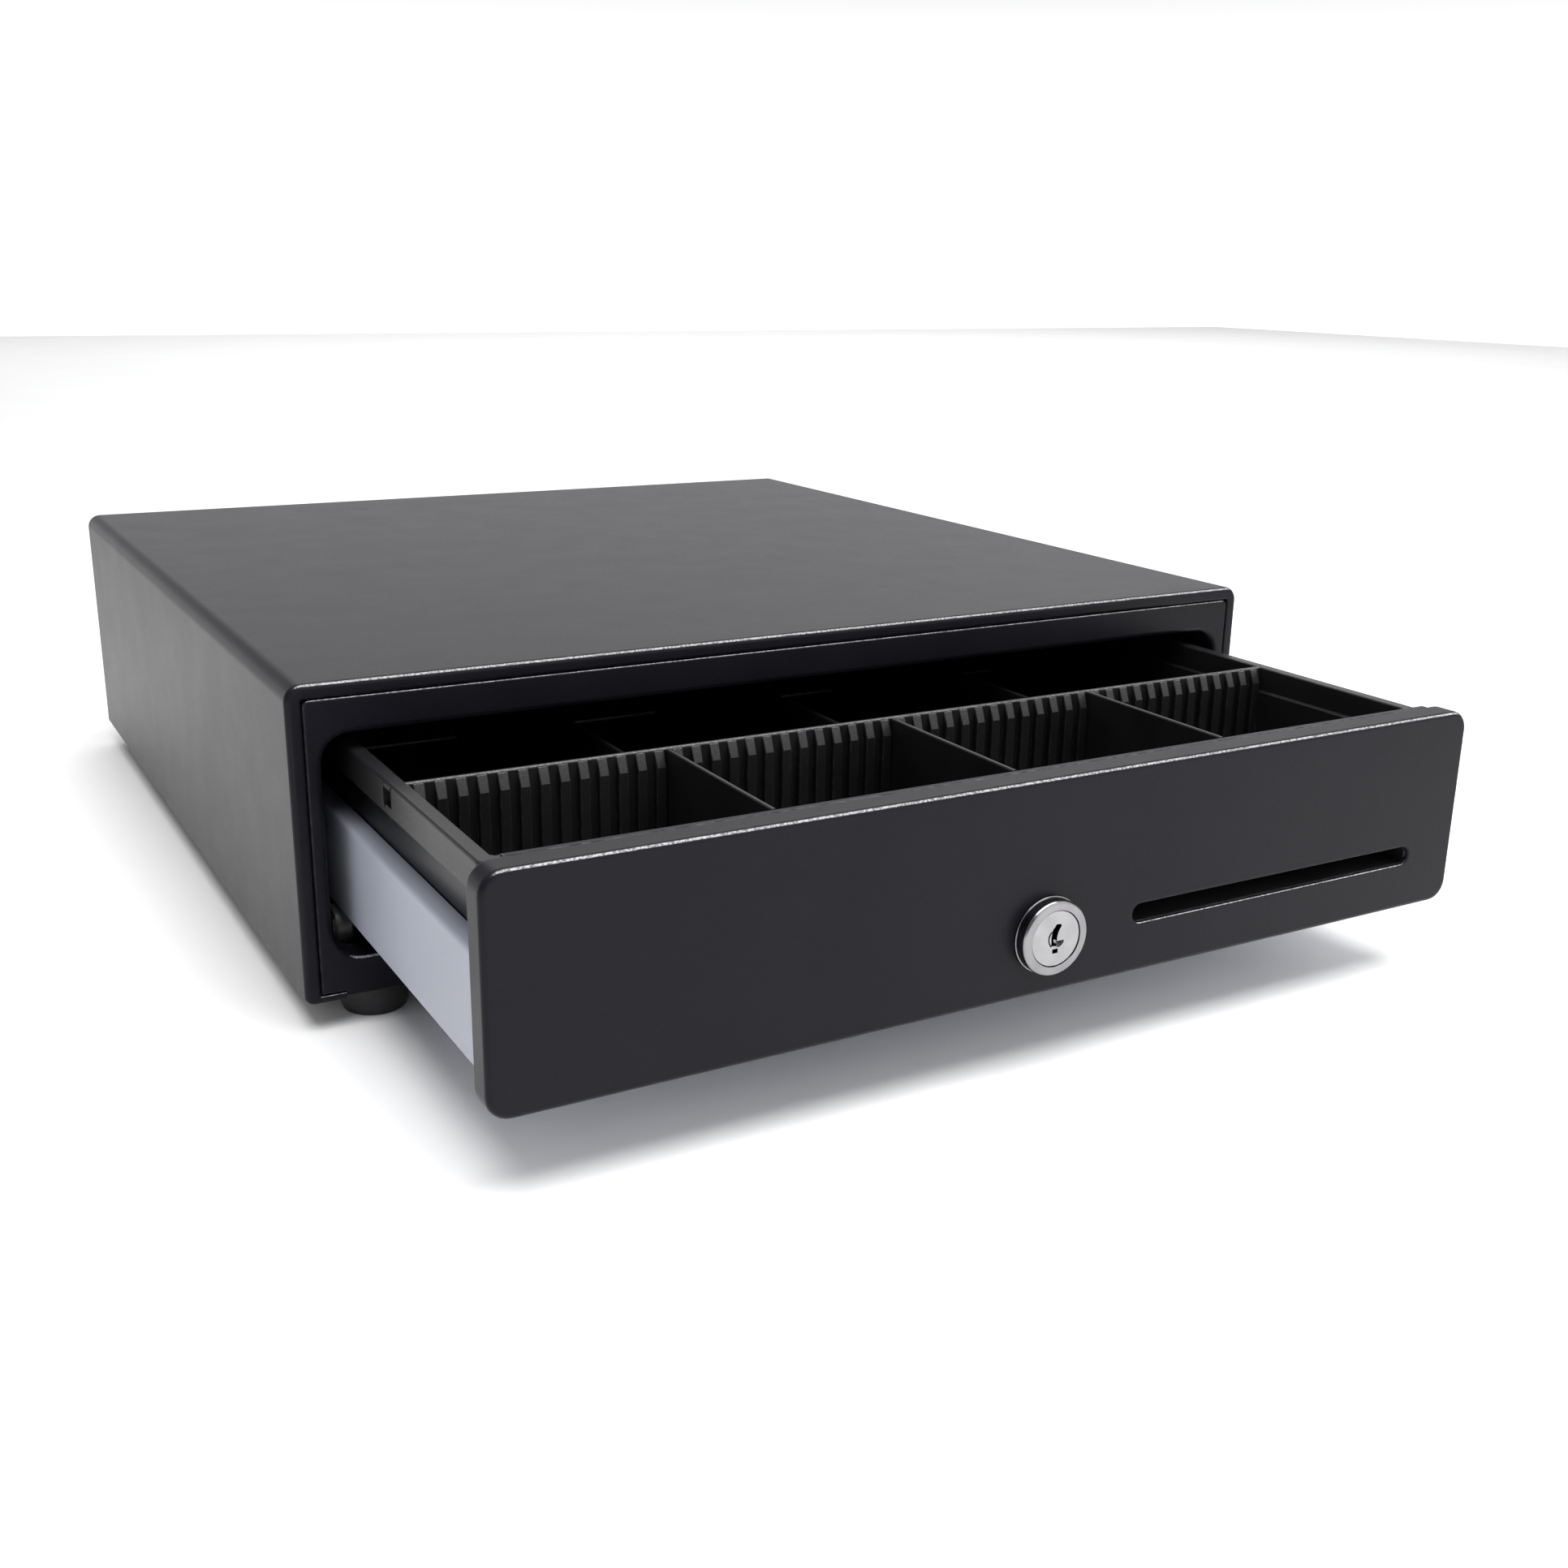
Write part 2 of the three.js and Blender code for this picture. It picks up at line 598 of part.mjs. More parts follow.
add(housing, "latch_bracket", latchBracket(), zincSteel);
add(housing, "latch_pivot_pin", latchPivotPin(), zincSteel);
add(latchParts, "latch_hook", latchHook(), zincSteel);
add(housing, "solenoid_frame", solenoidFrame(), zincSteel);
add(housing, "solenoid_coil", solenoidCoil(), copper);
add(housing, "solenoid_plunger", solenoidPlunger(), zincSteel);
add(housing, "plunger_spring", plungerSpring, springSteel);
add(housing, "microswitch_body", microswitchBody(), blackPlastic);
add(housing, "microswitch_lever", microswitchLever(), springSteel);
add(housing, "ejector_guide", ejectorGuide(), blackPlastic);
add(housing, "ejector_pusher", ejectorPusher(), nylon);
add(housing, "ejector_spring", ejectorSpring, springSteel);
add(housing, "rj_jack", rjJack(), blackPlastic);
add(housing, "lock_keeper", lockKeeper(), zincSteel);

const coilTop = plungerZ + SOLENOID.winding;
const solenoidRoute = [
  [-120, JACK.front - 1.9, 65], [-116, 388, 67], [-90, 392, 68], [-40, 396, 68], [10, 396, 68],
  [34, 391, 66], [40, PLUNGER_Y, coilTop + 1.9],
];
const switchRoute = [
  [-124, JACK.front - 1.9, 59], [-120, 387, 58], [-90, 384, 54], [-50, 384, 50], [-30, 381, 47.5],
  [-22.4, 375.4, 47.2],
];
add(housing, "solenoid_lead", lead(solenoidRoute, 1.5), rubber);
add(housing, "switch_lead", lead(switchRoute, 1.1), rubber);

// ---------------------------------------------------------------- drawer

function drawerTray() {
  const { halfWidth, bottom, top, flange, front, rear } = TRAY;
  const inner = halfWidth - SHEET;
  const section = outline([
    [-halfWidth, bottom], [halfWidth, bottom], [halfWidth, top], [halfWidth - flange, top],
    [halfWidth - flange, top - SHEET], [inner, top - SHEET], [inner, TRAY_FLOOR], [-inner, TRAY_FLOOR],
    [-inner, top - SHEET], [flange - halfWidth, top - SHEET], [flange - halfWidth, top], [-halfWidth, top],
  ]);
  return cut(
    join(prismY(section, front, rear), block(-halfWidth, halfWidth, front, front + SHEET, bottom, top)),
    rodY(0, front - 1, front + SHEET + 1, LOCK_Z, LOCK_HOLE, 24),
    block(SLOT.left - 1, SLOT.right + 1, front - 1, front + SHEET + 1, SLOT.bottom - 1, SLOT.top + 1),
    block(-BOLT.half - 0.6, BOLT.half + 0.6, BOLT.front - 1.6, BOLT.rear + 0.4, bottom - 1, TRAY_FLOOR + 1),
    rodX(-halfWidth - 1, halfWidth + 1, ROLLER.y, ROLLER.z, AXLE_RADIUS + GAP),
  );
}

function drawerBack() {
  const plate = TRAY.rear + GAP;
  const half = TRAY.halfWidth;
  const top = 84;
  const tabLength = 9;
  const tabTop = TRAY.top - SHEET - GAP;
  return join(
    block(-half, half, plate, plate + SHEET, TRAY.bottom, top),
    ...SIDES.map(([, side]) => sideBlock(
      side, half - 2 * SHEET - GAP, half - SHEET - GAP, plate - tabLength, plate + 0.5, ON_TRAY, tabTop)),
  );
}

// The folded pan that closes the housing's opening.
function drawerFront() {
  const { halfWidth, bottom, top, radius, depth } = FRONT;
  const slotRadius = (SLOT.top - SLOT.bottom) / 2;
  const pan = (inset) => roundedOutline(
    inset - halfWidth, halfWidth - inset, bottom + inset, top - inset, radius - inset);
  return cut(
    prismY(pan(0), 0, depth, 4),
    prismY(pan(SHEET), SHEET, depth + 1, 4),
    prismY(roundedOutline(SLOT.left, SLOT.right, SLOT.bottom, SLOT.top, slotRadius - 0.01), -1, SHEET + 1),
    rodY(0, -1, SHEET + 1, LOCK_Z, LOCK_HOLE, 24),
  );
}

// The channel behind the front pan's top flange.
function frontStiffener() {
  const half = TILL.innerHalf;
  const front = FRONT.depth + GAP;
  const rear = TILL.front - GAP - 0.2;
  return join(
    block(-half, half, front, rear, FRONT.top - SHEET, FRONT.top),
    block(-half, half, rear - SHEET, rear, TRAY.top + GAP, FRONT.top),
    block(-half, half, TRAY.front, rear, TRAY.top + GAP, TRAY.top + GAP + SHEET),
  );
}

// The sleeve that leads notes and slips from the slot into the space under the till.
function mediaChute() {
  const front = TRAY.front + SHEET + GAP;
  const rear = 15;
  const sleeve = (sideways, upright, y0, y1) =>
    block(SLOT.left - sideways, SLOT.right + sideways, y0, y1, SLOT.bottom - upright, SLOT.top + upright);
  return cut(sleeve(2.5, 2, front, rear), sleeve(1, 0.7, front - 1, rear + 1));
}

// The bracket and post on the drawer's back that the latch hooks round.
function striker() {
  const front = TRAY.rear + SHEET + 2 * GAP;
  const post = { x: LATCH.x + 7.5, y: 353.5, radius: 2.5 };
  const cheek = { half: 3, rear: post.y + 3.5, thickness: 2.5 };
  const low = LATCH.low - 5;
  const high = LATCH.high + 5;
  const cheekBlock = (z) =>
    block(post.x - cheek.half, post.x + cheek.half, front, cheek.rear, z, z + cheek.thickness);
  return join(
    block(-4, 18, front, front + BRACKET_SHEET, low - 1, high + 2),
    cheekBlock(low),
    cheekBlock(high - cheek.thickness),
    rodZ(post.x, post.y, low + 2, high - 2, post.radius, 12),
  );
}

add(drawer, "drawer_tray", drawerTray(), greySteel);
add(drawer, "drawer_back", drawerBack(), greySteel);
add(drawer, "drawer_front", drawerFront(), blackCoat);
add(drawer, "front_stiffener", frontStiffener(), blackCoat);
add(drawer, "media_chute", mediaChute(), blackPlastic);
add(drawer, "striker", striker(), zincSteel);

// ---------------------------------------------------------------- lock

const PLUG_HEAD_RADIUS = 9.45;
const PLUG_HEAD_DEPTH = 2.3;
const PLUG_RADIUS = 6.2;
const KEYWAY = { half: 1, height: 4, depth: 18 };
const SCREW_HOLE = 1.6;
const BARREL_RADIUS = 9.4;
const BARREL_REAR = 24;
const CAM_FRONT = 27.3;
const CAM_REAR = CAM_FRONT + 2;

// The barrel with its flange, bored for the plug and countersunk for the plug's head.
function lockBody() {
  const face = -LOCK_PROUD;
  const chamfer = 1.2;
  const headSeat = face + PLUG_HEAD_DEPTH + 2 * GAP;
  const profile = [
    [PLUG_HEAD_RADIUS + GAP, face], [LOCK_FLANGE_RADIUS - chamfer, face], [LOCK_FLANGE_RADIUS, face + chamfer],
    [LOCK_FLANGE_RADIUS, -GAP], [BARREL_RADIUS, -GAP], [BARREL_RADIUS, BARREL_REAR],
    [PLUG_RADIUS + GAP, BARREL_REAR], [PLUG_RADIUS + GAP, headSeat], [PLUG_HEAD_RADIUS + GAP, headSeat],
  ];
  const geometry = new THREE.LatheGeometry(
    [...profile, profile[0]].map(([r, y]) => new THREE.Vector2(r, y)), 32);
  geometry.translate(0, 0, LOCK_Z);
  return solid(geometry);
}

// A bar about the lock's axis, turned to the crank's unlocked angle: half its width, and its low and high ends.
function crankBar(half, low, high, y0, y1) {
  const geometry = new THREE.BoxGeometry(2 * half, y1 - y0, high - low);
  geometry.translate(0, 0, (low + high) / 2);
  geometry.rotateY(Math.PI / 4);
  geometry.translate(0, (y0 + y1) / 2, LOCK_Z);
  return solid(geometry);
}

// The turning plug: a round head, the cylinder with its keyway, and a square end for the cam.
function lockPlug() {
  const face = -LOCK_PROUD + GAP;
  const square = 3;
  const { half, height, depth } = KEYWAY;
  return cut(
    join(
      rodY(0, face, face + PLUG_HEAD_DEPTH, LOCK_Z, PLUG_HEAD_RADIUS, 32),
      rodY(0, face + 2, BARREL_REAR + 3, LOCK_Z, PLUG_RADIUS, 24),
      crankBar(square, -square, square, BARREL_REAR + 2, CAM_REAR + 0.2),
    ),
    block(-half, half, face - 1, face + depth, LOCK_Z - height, LOCK_Z + height),
    block(-half, 2.2, face - 1, face + depth, LOCK_Z - 2.6, LOCK_Z - 0.8),
    rodY(0, CAM_REAR - 5, CAM_REAR + 1, LOCK_Z, SCREW_HOLE, 12),
  );
}

function lockNut() {
  const thickness = 4.2;
  const corner = 13.5;
  const nut = new THREE.CylinderGeometry(corner, corner, thickness, 6);
  nut.rotateY(Math.PI / 6);
  nut.translate(0, TRAY.front + SHEET + GAP + thickness / 2, LOCK_Z);
  return cut(solid(nut), rodY(0, 0, 20, LOCK_Z, BARREL_RADIUS + GAP, 24));
}

const pinOffset = CRANK_RADIUS * Math.SQRT1_2;

// The cam plate with its crank pin, in the unlocked position.
function lockCam() {
  const hole = 3.3;
  const half = 4.6;
  const pinEnd = BOLT.rear + 0.7;
  return join(
    cut(
      crankBar(half, -4.8, CRANK_RADIUS + 1.6, CAM_FRONT, CAM_REAR),
      crankBar(hole, -hole, hole, CAM_FRONT - 1, CAM_REAR + 1),
    ),
    rodY(pinOffset, CAM_REAR - 0.5, pinEnd, LOCK_Z + pinOffset, 1.5, 12),
  );
}

function camScrew() {
  const head = { front: CAM_REAR + 2 * GAP, thickness: 0.7, radius: 3.6 };
  return join(
    rodY(0, CAM_REAR - 4.5, CAM_REAR + 1, LOCK_Z, SCREW_HOLE - 0.35, 12),
    rodY(0, head.front, head.front + head.thickness, LOCK_Z, head.radius, 12),
  );
}

// The T-shaped bolt that the crank pin raises and lowers through the tray's floor.
function lockBolt() {
  const { half, front, rear, bottom, shoulder, top, wide } = BOLT;
  const slotZ = LOCK_Z + pinOffset;
  const slotHalf = 2.1;
  const plate = outline([
    [-half, bottom], [half, bottom], [half, shoulder], [wide, shoulder], [wide, top], [-wide, top],
    [-wide, shoulder], [-half, shoulder],
  ]);
  return cut(
    prismY(plate, front, rear),
    block(3, 10.4, front - 1, rear + 1.3, slotZ - slotHalf, slotZ + slotHalf),
  );
}

// A channel on the tray's floor that the bolt slides in.
function boltGuide() {
  const front = BOLT.front - 0.4;
  const plate = BOLT.rear + SHEET;
  const outer = BOLT.wide + 2.9;
  const top = 56;
  return join(
    block(-outer, outer, plate, plate + SHEET, ON_TRAY, top),
    ...SIDES.map(([, side]) => sideBlock(side, BOLT.wide + 0.5, outer, front, plate + GAP, ON_TRAY, top)),
  );
}

add(drawer, "lock_body", lockBody(), chrome);
add(drawer, "lock_plug", lockPlug(), chrome);
add(drawer, "lock_nut", lockNut(), zincSteel);
add(drawer, "lock_cam", lockCam(), zincSteel);
add(drawer, "cam_screw", camScrew(), zincSteel);
add(drawer, "lock_bolt", lockBolt(), zincSteel);
add(drawer, "bolt_guide", boltGuide(), zincSteel);

// ---------------------------------------------------------------- till

// An upright comb on a wall that runs along X: y is the wall's face, out is the way the ribs stand.
function comb(y, out) {
  const { pitch, count, rib, depth, leadIn } = COMB;
  const top = TILL.top - 0.6;
  const section = outline([
    [y - out * 0.5, TILL.floor - 0.5], [y - out * 0.5, top], [y, top], [y + out * depth, top - leadIn],
    [y + out * depth, TILL.floor - 0.5],
  ]);
  return Array.from({ length: count }, (_, i) => {
    const x = (i - (count - 1) / 2) * pitch;
    return prismX(section, x - rib / 2, x + rib / 2);
  });
}

// The till insert: a tub hung from a thicker band, with a cross wall, two combs, legs and note guides.
function tillTray() {
  const { halfWidth, innerHalf, tubHalf, front, rear, top, bandBottom, floor, thickness, crossWall } = TILL;
  const step = halfWidth - innerHalf;
  const tubStep = halfWidth - tubHalf;
  const ring = (half, inset, radius) => roundedOutline(-half, half, front + inset, rear - inset, radius);
  const tubOuter = tubStep - thickness;
  const shell = cut(
    join(
      prismZ(ring(halfWidth, 0, 4), bandBottom, top),
      prismZ(ring(tubHalf + thickness, tubOuter, 3), floor - thickness, bandBottom + 1),
    ),
    prismZ(ring(innerHalf, step, 2), bandBottom + 1.5, top + 1),
    prismZ(ring(tubHalf, tubStep, 2), floor, top),
  );
  const legs = SIDES.flatMap(([, side]) => [25, 165, 305].map(
    (y) => sideBlock(side, 168, 178, y, y + 10, ON_TRAY, floor - 1)));
  const guideHalf = 1;
  const guideBlock = (x, y0, y1) => block(x - guideHalf, x + guideHalf, y0, y1, floor - 0.5, bandBottom);
  const noteGuides = DIVIDER_X.flatMap((x) => [x - 2.4, x + 2.4].flatMap((guideX) => [
    guideBlock(guideX, crossWall + 0.5, crossWall + 4),
    guideBlock(guideX, rear - tubStep - 3, rear - tubStep + 0.5),
  ]));
  return cut(
    join(
      shell,
      block(-innerHalf - 0.5, innerHalf + 0.5, crossWall - 1, crossWall + 1, floor - 0.5, top),
      ...comb(crossWall - 1, -1),
      ...comb(front + tubStep, 1),
      ...legs,
      ...noteGuides,
    ),
    rodX(-innerHalf - 3, innerHalf + 3, CLIP.y, CLIP.z, CLIP.rod + GAP, 12),
    ...SIDES.map(([, side]) => sideBlock(
      side, halfWidth - 0.6, halfWidth + 1, crossWall - 0.9, crossWall + 0.9, top - 8, top + 1)),
  );
}

const DIVIDER_HALF = 0.9;

// A removable wall between two coin bins.
function coinDivider(x) {
  const { front, halfWidth, tubHalf, crossWall, floor, top } = TILL;
  const start = front + halfWidth - tubHalf + 0.4;
  return block(x - DIVIDER_HALF, x + DIVIDER_HALF, start, crossWall - 1.4, floor + GAP, top - 0.2);
}

// A removable wall between two note bins, held between the till's short ribs.
function noteDivider(x) {
  const { rear, halfWidth, tubHalf, crossWall, floor, bandBottom } = TILL;
  const end = rear - (halfWidth - tubHalf) - 0.4;
  return block(x - DIVIDER_HALF, x + DIVIDER_HALF, crossWall + 1.4, end, floor + GAP, bandBottom);
}

// A sprung note clip about its own rod: a barrel, a flat arm and a turned-up pressing foot.
function noteClip() {
  const { length, width, rod } = CLIP;
  const half = width / 2;
  const barrelHalf = half + 6;
  const bend = 8 - length;
  const arm = outline([[0, 1.6], [bend, 1.6], [-length, 5], [-length - 0.8, 3.6], [bend, 0], [0, 0]]);
  return cut(
    join(rodX(-barrelHalf, barrelHalf, 0, 0, 3.2), prismX(arm, -half, half)),
    rodX(-barrelHalf - 1, barrelHalf + 1, 0, 0, rod + 0.35, 12),
  );
}

add(drawer, "till_tray", tillTray(), blackPlastic);
["left", "centre", "right"].forEach((name, i) => {
  add(drawer, `coin_divider_${name}`, coinDivider(DIVIDER_X[i]), blackPlastic);
  add(drawer, `note_divider_${name}`, noteDivider(DIVIDER_X[i]), blackPlastic);
});
const rodHalf = TILL.innerHalf + 2.4;
add(drawer, "clip_rod", rodX(-rodHalf, rodHalf, CLIP.y, CLIP.z, CLIP.rod, 12), zincSteel);
for (const [i, x] of [-134, -44.75, 44.75, 134].entries()) {
  const clip = add(drawer, `note_clip_${i + 1}`, noteClip(), blackPlastic);
  clip.position.set(x, CLIP.y, CLIP.z);
  clip.rotation.x = CLIP.drop;
}

export default group;
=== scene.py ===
"""The cash drawer's looks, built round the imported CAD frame.

Shapes are written in millimetres in the row frame and scaled to metres when a mesh is made. A sheet part
is an open surface of rounded bends with a thickness, a turned part is a lathe, and a moulded part a loft.
"""

import math

import bmesh
import bpy
from mathutils import Matrix, Vector


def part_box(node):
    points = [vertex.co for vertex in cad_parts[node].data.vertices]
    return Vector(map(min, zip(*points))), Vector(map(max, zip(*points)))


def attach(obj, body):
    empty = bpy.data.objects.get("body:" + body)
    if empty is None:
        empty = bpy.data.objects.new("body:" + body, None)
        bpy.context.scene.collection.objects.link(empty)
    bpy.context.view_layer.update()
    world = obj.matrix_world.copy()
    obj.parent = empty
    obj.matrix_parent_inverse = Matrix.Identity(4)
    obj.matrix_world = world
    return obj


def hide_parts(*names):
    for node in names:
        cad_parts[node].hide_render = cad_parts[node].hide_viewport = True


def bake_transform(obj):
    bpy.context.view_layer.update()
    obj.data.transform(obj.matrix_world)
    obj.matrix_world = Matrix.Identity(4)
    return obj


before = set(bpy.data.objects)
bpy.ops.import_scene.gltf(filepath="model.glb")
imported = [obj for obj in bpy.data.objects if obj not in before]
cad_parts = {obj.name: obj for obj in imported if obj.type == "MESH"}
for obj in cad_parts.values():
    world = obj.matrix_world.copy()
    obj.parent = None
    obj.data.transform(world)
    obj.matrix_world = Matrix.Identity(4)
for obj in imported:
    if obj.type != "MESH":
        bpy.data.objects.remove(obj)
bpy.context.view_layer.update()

MM = 0.001
SIDES = (("left", -1), ("right", 1))
SHEET = 1.2  # thickness of the steel sheet
PANEL = 1.0  # thickness of the cover, the bezel, the rear panel and the drawer's front
BEND_STEPS = 6  # faces round a quarter bend
QUARTER = [math.pi / 2 * k / BEND_STEPS for k in range(BEND_STEPS + 1)]
LEAST_BEND = 0.15  # the tightest corner of an outline that is moved inwards
SAME_PLACE, NO_LENGTH = 1e-4, 1e-5  # for points and edges that are merged, in millimetres
SHARP = math.radians(38)  # edges sharper than this are rounded, and shaded as edges


def corners(node_name):
    """The lowest and highest corner of a CAD node, in millimetres."""
    low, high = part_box(node_name)
    return low / MM, high / MM


def across_axis(axis, point):
    """A point's two coordinates across an axis."""
    return tuple(value for name, value in zip("xyz", point) if name != axis)


def middle_across(axis, node_name):
    """The middle of a CAD node, across an axis."""
    low, high = corners(node_name)
    return across_axis(axis, [(a + b) / 2 for a, b in zip(low, high)])


def on_side(side, *distances):
    """Distances from the middle plane as places in x on one side, in rising order."""
    return sorted(side * distance for distance in distances)


# -------------------- outlines


def rounded(points, radius=0, closed=False, steps=BEND_STEPS):
    """A polyline with an arc at each corner. A point's third value, if any, is its own radius."""
    result = []
    count = len(points)
    for i, point in enumerate(points):
        here = Vector(point[:2])
        own = point[2] if len(point) > 2 else radius
        if own <= 0 or (not closed and i in (0, count - 1)):
            result.append(here)
            continue
        back = Vector(points[i - 1][:2]) - here
        ahead = Vector(points[(i + 1) % count][:2]) - here
        half = back.angle(ahead) / 2
        reach = own / math.tan(half)
        start = here + back.normalized() * reach
        end = here + ahead.normalized() * reach
        centre = here + (back.normalized() + ahead.normalized()).normalized() * (own / math.sin(half))
        first, last = start - centre, end - centre
        turn = first.angle_signed(last)
        for k in range(steps + 1):
            result.append(centre + Matrix.Rotation(-turn * k / steps, 2) @ first)
    return result


def rectangle(u0, u1, v0, v1):
    return [(u0, v0), (u1, v0), (u1, v1), (u0, v1)]


def rounded_rectangle(u0, u1, v0, v1, radius, steps=BEND_STEPS):
    return rounded(rectangle(u0, u1, v0, v1), radius, closed=True, steps=steps)


def grown(points, radius, by):
    """A closed anticlockwise outline moved outwards, its rounded corners staying concentric."""
    count = len(points)
    moved = []
    for i, point in enumerate(points):
        here = Vector(point[:2])
        into = (here - Vector(points[i - 1][:2])).normalized()
        out = (Vector(points[(i + 1) % count][:2]) - here).normalized()
        normal_in, normal_out = Vector((into.y, -into.x)), Vector((out.y, -out.x))
        miter = (normal_in + normal_out) / (1 + normal_in.dot(normal_out))
        convex = into.cross(out) > 0
        own = point[2] if len(point) > 2 else radius
        target = here + miter * by
        moved.append((target.x, target.y, max(own + (by if convex else -by), LEAST_BEND)))
    return rounded(moved, radius, closed=True)


def place(axis, along, u, v):
    """The point that is (u, v) across an axis and at a distance along it."""
    return {"x": Vector((along, u, v)), "y": Vector((u, along, v)), "z": Vector((u, v, along))}[axis]


# -------------------- meshes


def add_loft(bm, rings, closed=True, capped=False, looped=False):
    """Faces between rings of equally many points. Looped joins the last ring to the first."""
    rows = [[bm.verts.new(p) for p in ring] for ring in rings]
    pairs = list(zip(rows, rows[1:] + rows[:1]))
    for near, far in pairs if looped else pairs[:-1]:
        for i in range(len(near) if closed else len(near) - 1):
            j = (i + 1) % len(near)
            bm.faces.new((near[i], near[j], far[j], far[i]))
    if capped:
        bm.faces.new(list(reversed(rows[0])))
        bm.faces.new(rows[-1])
    return rows


# The next functions each return a builder: a function that adds the shape to a bmesh.


def loft(rings, **settings):
    return lambda bm: add_loft(bm, rings, **settings)


def prism(outline, axis, start, end):
    return loft([[place(axis, t, *p) for p in outline] for t in (start, end)], capped=True)


def block(x0, x1, y0, y1, z0, z1, radius=0.0):
    """A block, whose upright edges may be rounded."""
    outline = rounded_rectangle(x0, x1, y0, y1, radius, 4) if radius else rectangle(x0, x1, y0, y1)
    return prism(outline, "z", z0, z1)


def lathe(profile, axis, across, segments=64):
    """A body turned about an axis through the point across it. Profile: (radius, place along the axis)."""
    turn = [math.tau * i / segments for i in range(segments)]
    rings = [[place(axis, along, across[0] + radius * math.cos(a), across[1] + radius * math.sin(a))
              for a in turn] for radius, along in profile]
    return loft(rings, looped=profile[0][0] > 0 or profile[-1][0] > 0)


def cylinder(axis, start, end, across, radius, segments=64):
    return lathe([(0, start), (radius, start), (radius, end), (0, end)], axis, across, segments)


def rod(axis, start, end, across, radius, edge):
    """A cylinder with rounded ends."""
    profile = rounded([(0, start), (radius, start, edge), (radius, end, edge), (0, end)], steps=3)
    return lathe(profile, axis, across, 40)


def tube(points, radius, sides):
    """A round wire along a line of points, with flat ends."""
    frames = []
    normal = None
    for i, point in enumerate(points):
        tangent = (points[min(i + 1, len(points) - 1)] - points[max(i - 1, 0)]).normalized()
        if normal is None:
            normal = tangent.orthogonal().normalized()
        normal = (normal - tangent * normal.dot(tangent)).normalized()
        frames.append((point, normal, tangent.cross(normal)))
    turn = [math.tau * k / sides for k in range(sides)]
    rings = [[p + (n * math.cos(a) + b * math.sin(a)) * radius for a in turn] for p, n, b in frames]
    return loft(rings, capped=True)


def together(builders):
    return lambda bm: [build(bm) for build in builders]


def in_scene(name, data):
    """A new object that shows data."""
    obj = bpy.data.objects.new(name, data)
    bpy.context.scene.collection.objects.link(obj)
    return obj


def from_bmesh(name, bm):
    bmesh.ops.recalc_face_normals(bm, faces=bm.faces)
    mesh = bpy.data.meshes.new(name)
    bm.to_mesh(mesh)
    bm.free()
    return in_scene(name, mesh)


def make(name, *builders):
    """An object whose mesh is built, in millimetres, by builders."""
    bm = bmesh.new()
    for build in builders:
        build(bm)
    bmesh.ops.remove_doubles(bm, verts=bm.verts, dist=SAME_PLACE)
    bmesh.ops.dissolve_degenerate(bm, edges=bm.edges, dist=NO_LENGTH)
    obj = from_bmesh(name, bm)
    obj.data.transform(Matrix.Scale(MM, 4))
    return obj


def bake(obj):
    """Puts the modifiers' result into the mesh."""
    bpy.context.view_layer.update()
    graph = bpy.context.evaluated_depsgraph_get()
    result = bpy.data.meshes.new_from_object(obj.evaluated_get(graph))
    obj.modifiers.clear()
    obj.data = result


def boolean(obj, tool, operation="DIFFERENCE"):
    change = obj.modifiers.new(operation, "BOOLEAN")
    change.operation = operation
    change.solver = "MANIFOLD"
    change.object = tool
    bake(obj)
    bpy.data.objects.remove(tool)


def carve(obj, *builders):
    """Cuts away what each builder makes."""
    for build in builders:
        boolean(obj, make("tool", build))


def fuse(obj, *builders):
    """Joins on what each builder makes."""
    for build in builders:
        boolean(obj, make("tool", build), "UNION")


def thicken(obj, thickness):
    """Gives an open surface the thickness of its sheet, on the side away from its normals."""
    solid = obj.modifiers.new("sheet", "SOLIDIFY")
    solid.thickness = thickness * MM
    solid.offset = -1
    solid.use_even_offset = True
    bake(obj)


def strip(name, section, axis, start, end, radius=1.6, flip=False):
    """A bent sheet: an open section drawn out along an axis. flip puts the metal on its other side."""
    line = rounded(section[::-1] if flip else section, radius)
    sheet = make(name, loft([[place(axis, t, *p) for p in line] for t in (start, end)], closed=False))
    thicken(sheet, SHEET)
    return sheet


def round_edges(obj, width, segments):
    bevel = obj.modifiers.new("edges", "BEVEL")
    bevel.width = width * MM
    bevel.segments = segments
    bevel.limit_method = "ANGLE"
    bevel.angle_limit = SHARP


def dress(obj, body, slot, nodes=(), *, edge, segments=2, look=None, sharp=SHARP):
    """Rounds the edges, smooths the shading, sets the finish and puts the piece on its body."""
    if edge:
        round_edges(obj, edge, segments)
    obj.data.shade_smooth()
    obj.data.set_sharp_from_angle(angle=sharp)
    normals = obj.modifiers.new("normals", "WEIGHTED_NORMAL")
    normals.keep_sharp = True
    obj.data.materials.clear()
    obj.data.materials.append(FINISHES[look or slot])
    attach(obj, body)
    if nodes:
        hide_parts(*nodes)


# -------------------- finishes


def node(tree, kind, inputs=(), **settings):
    made = tree.nodes.new(kind)
    for key, value in settings.items():
        setattr(made, key, value)
    for key, value in dict(inputs).items():
        if isinstance(value, bpy.types.NodeSocket):
            tree.links.new(value, made.inputs[key])
        else:
            made.inputs[key].default_value = value
    return made


def noise(tree, where, size, detail):
    """Noise whose features are about size millimetres across."""
    return node(tree, "ShaderNodeTexNoise", {
        "Vector": where, "Scale": 1 / (size * MM), "Detail": detail, "Roughness": 0.55}).outputs["Fac"]


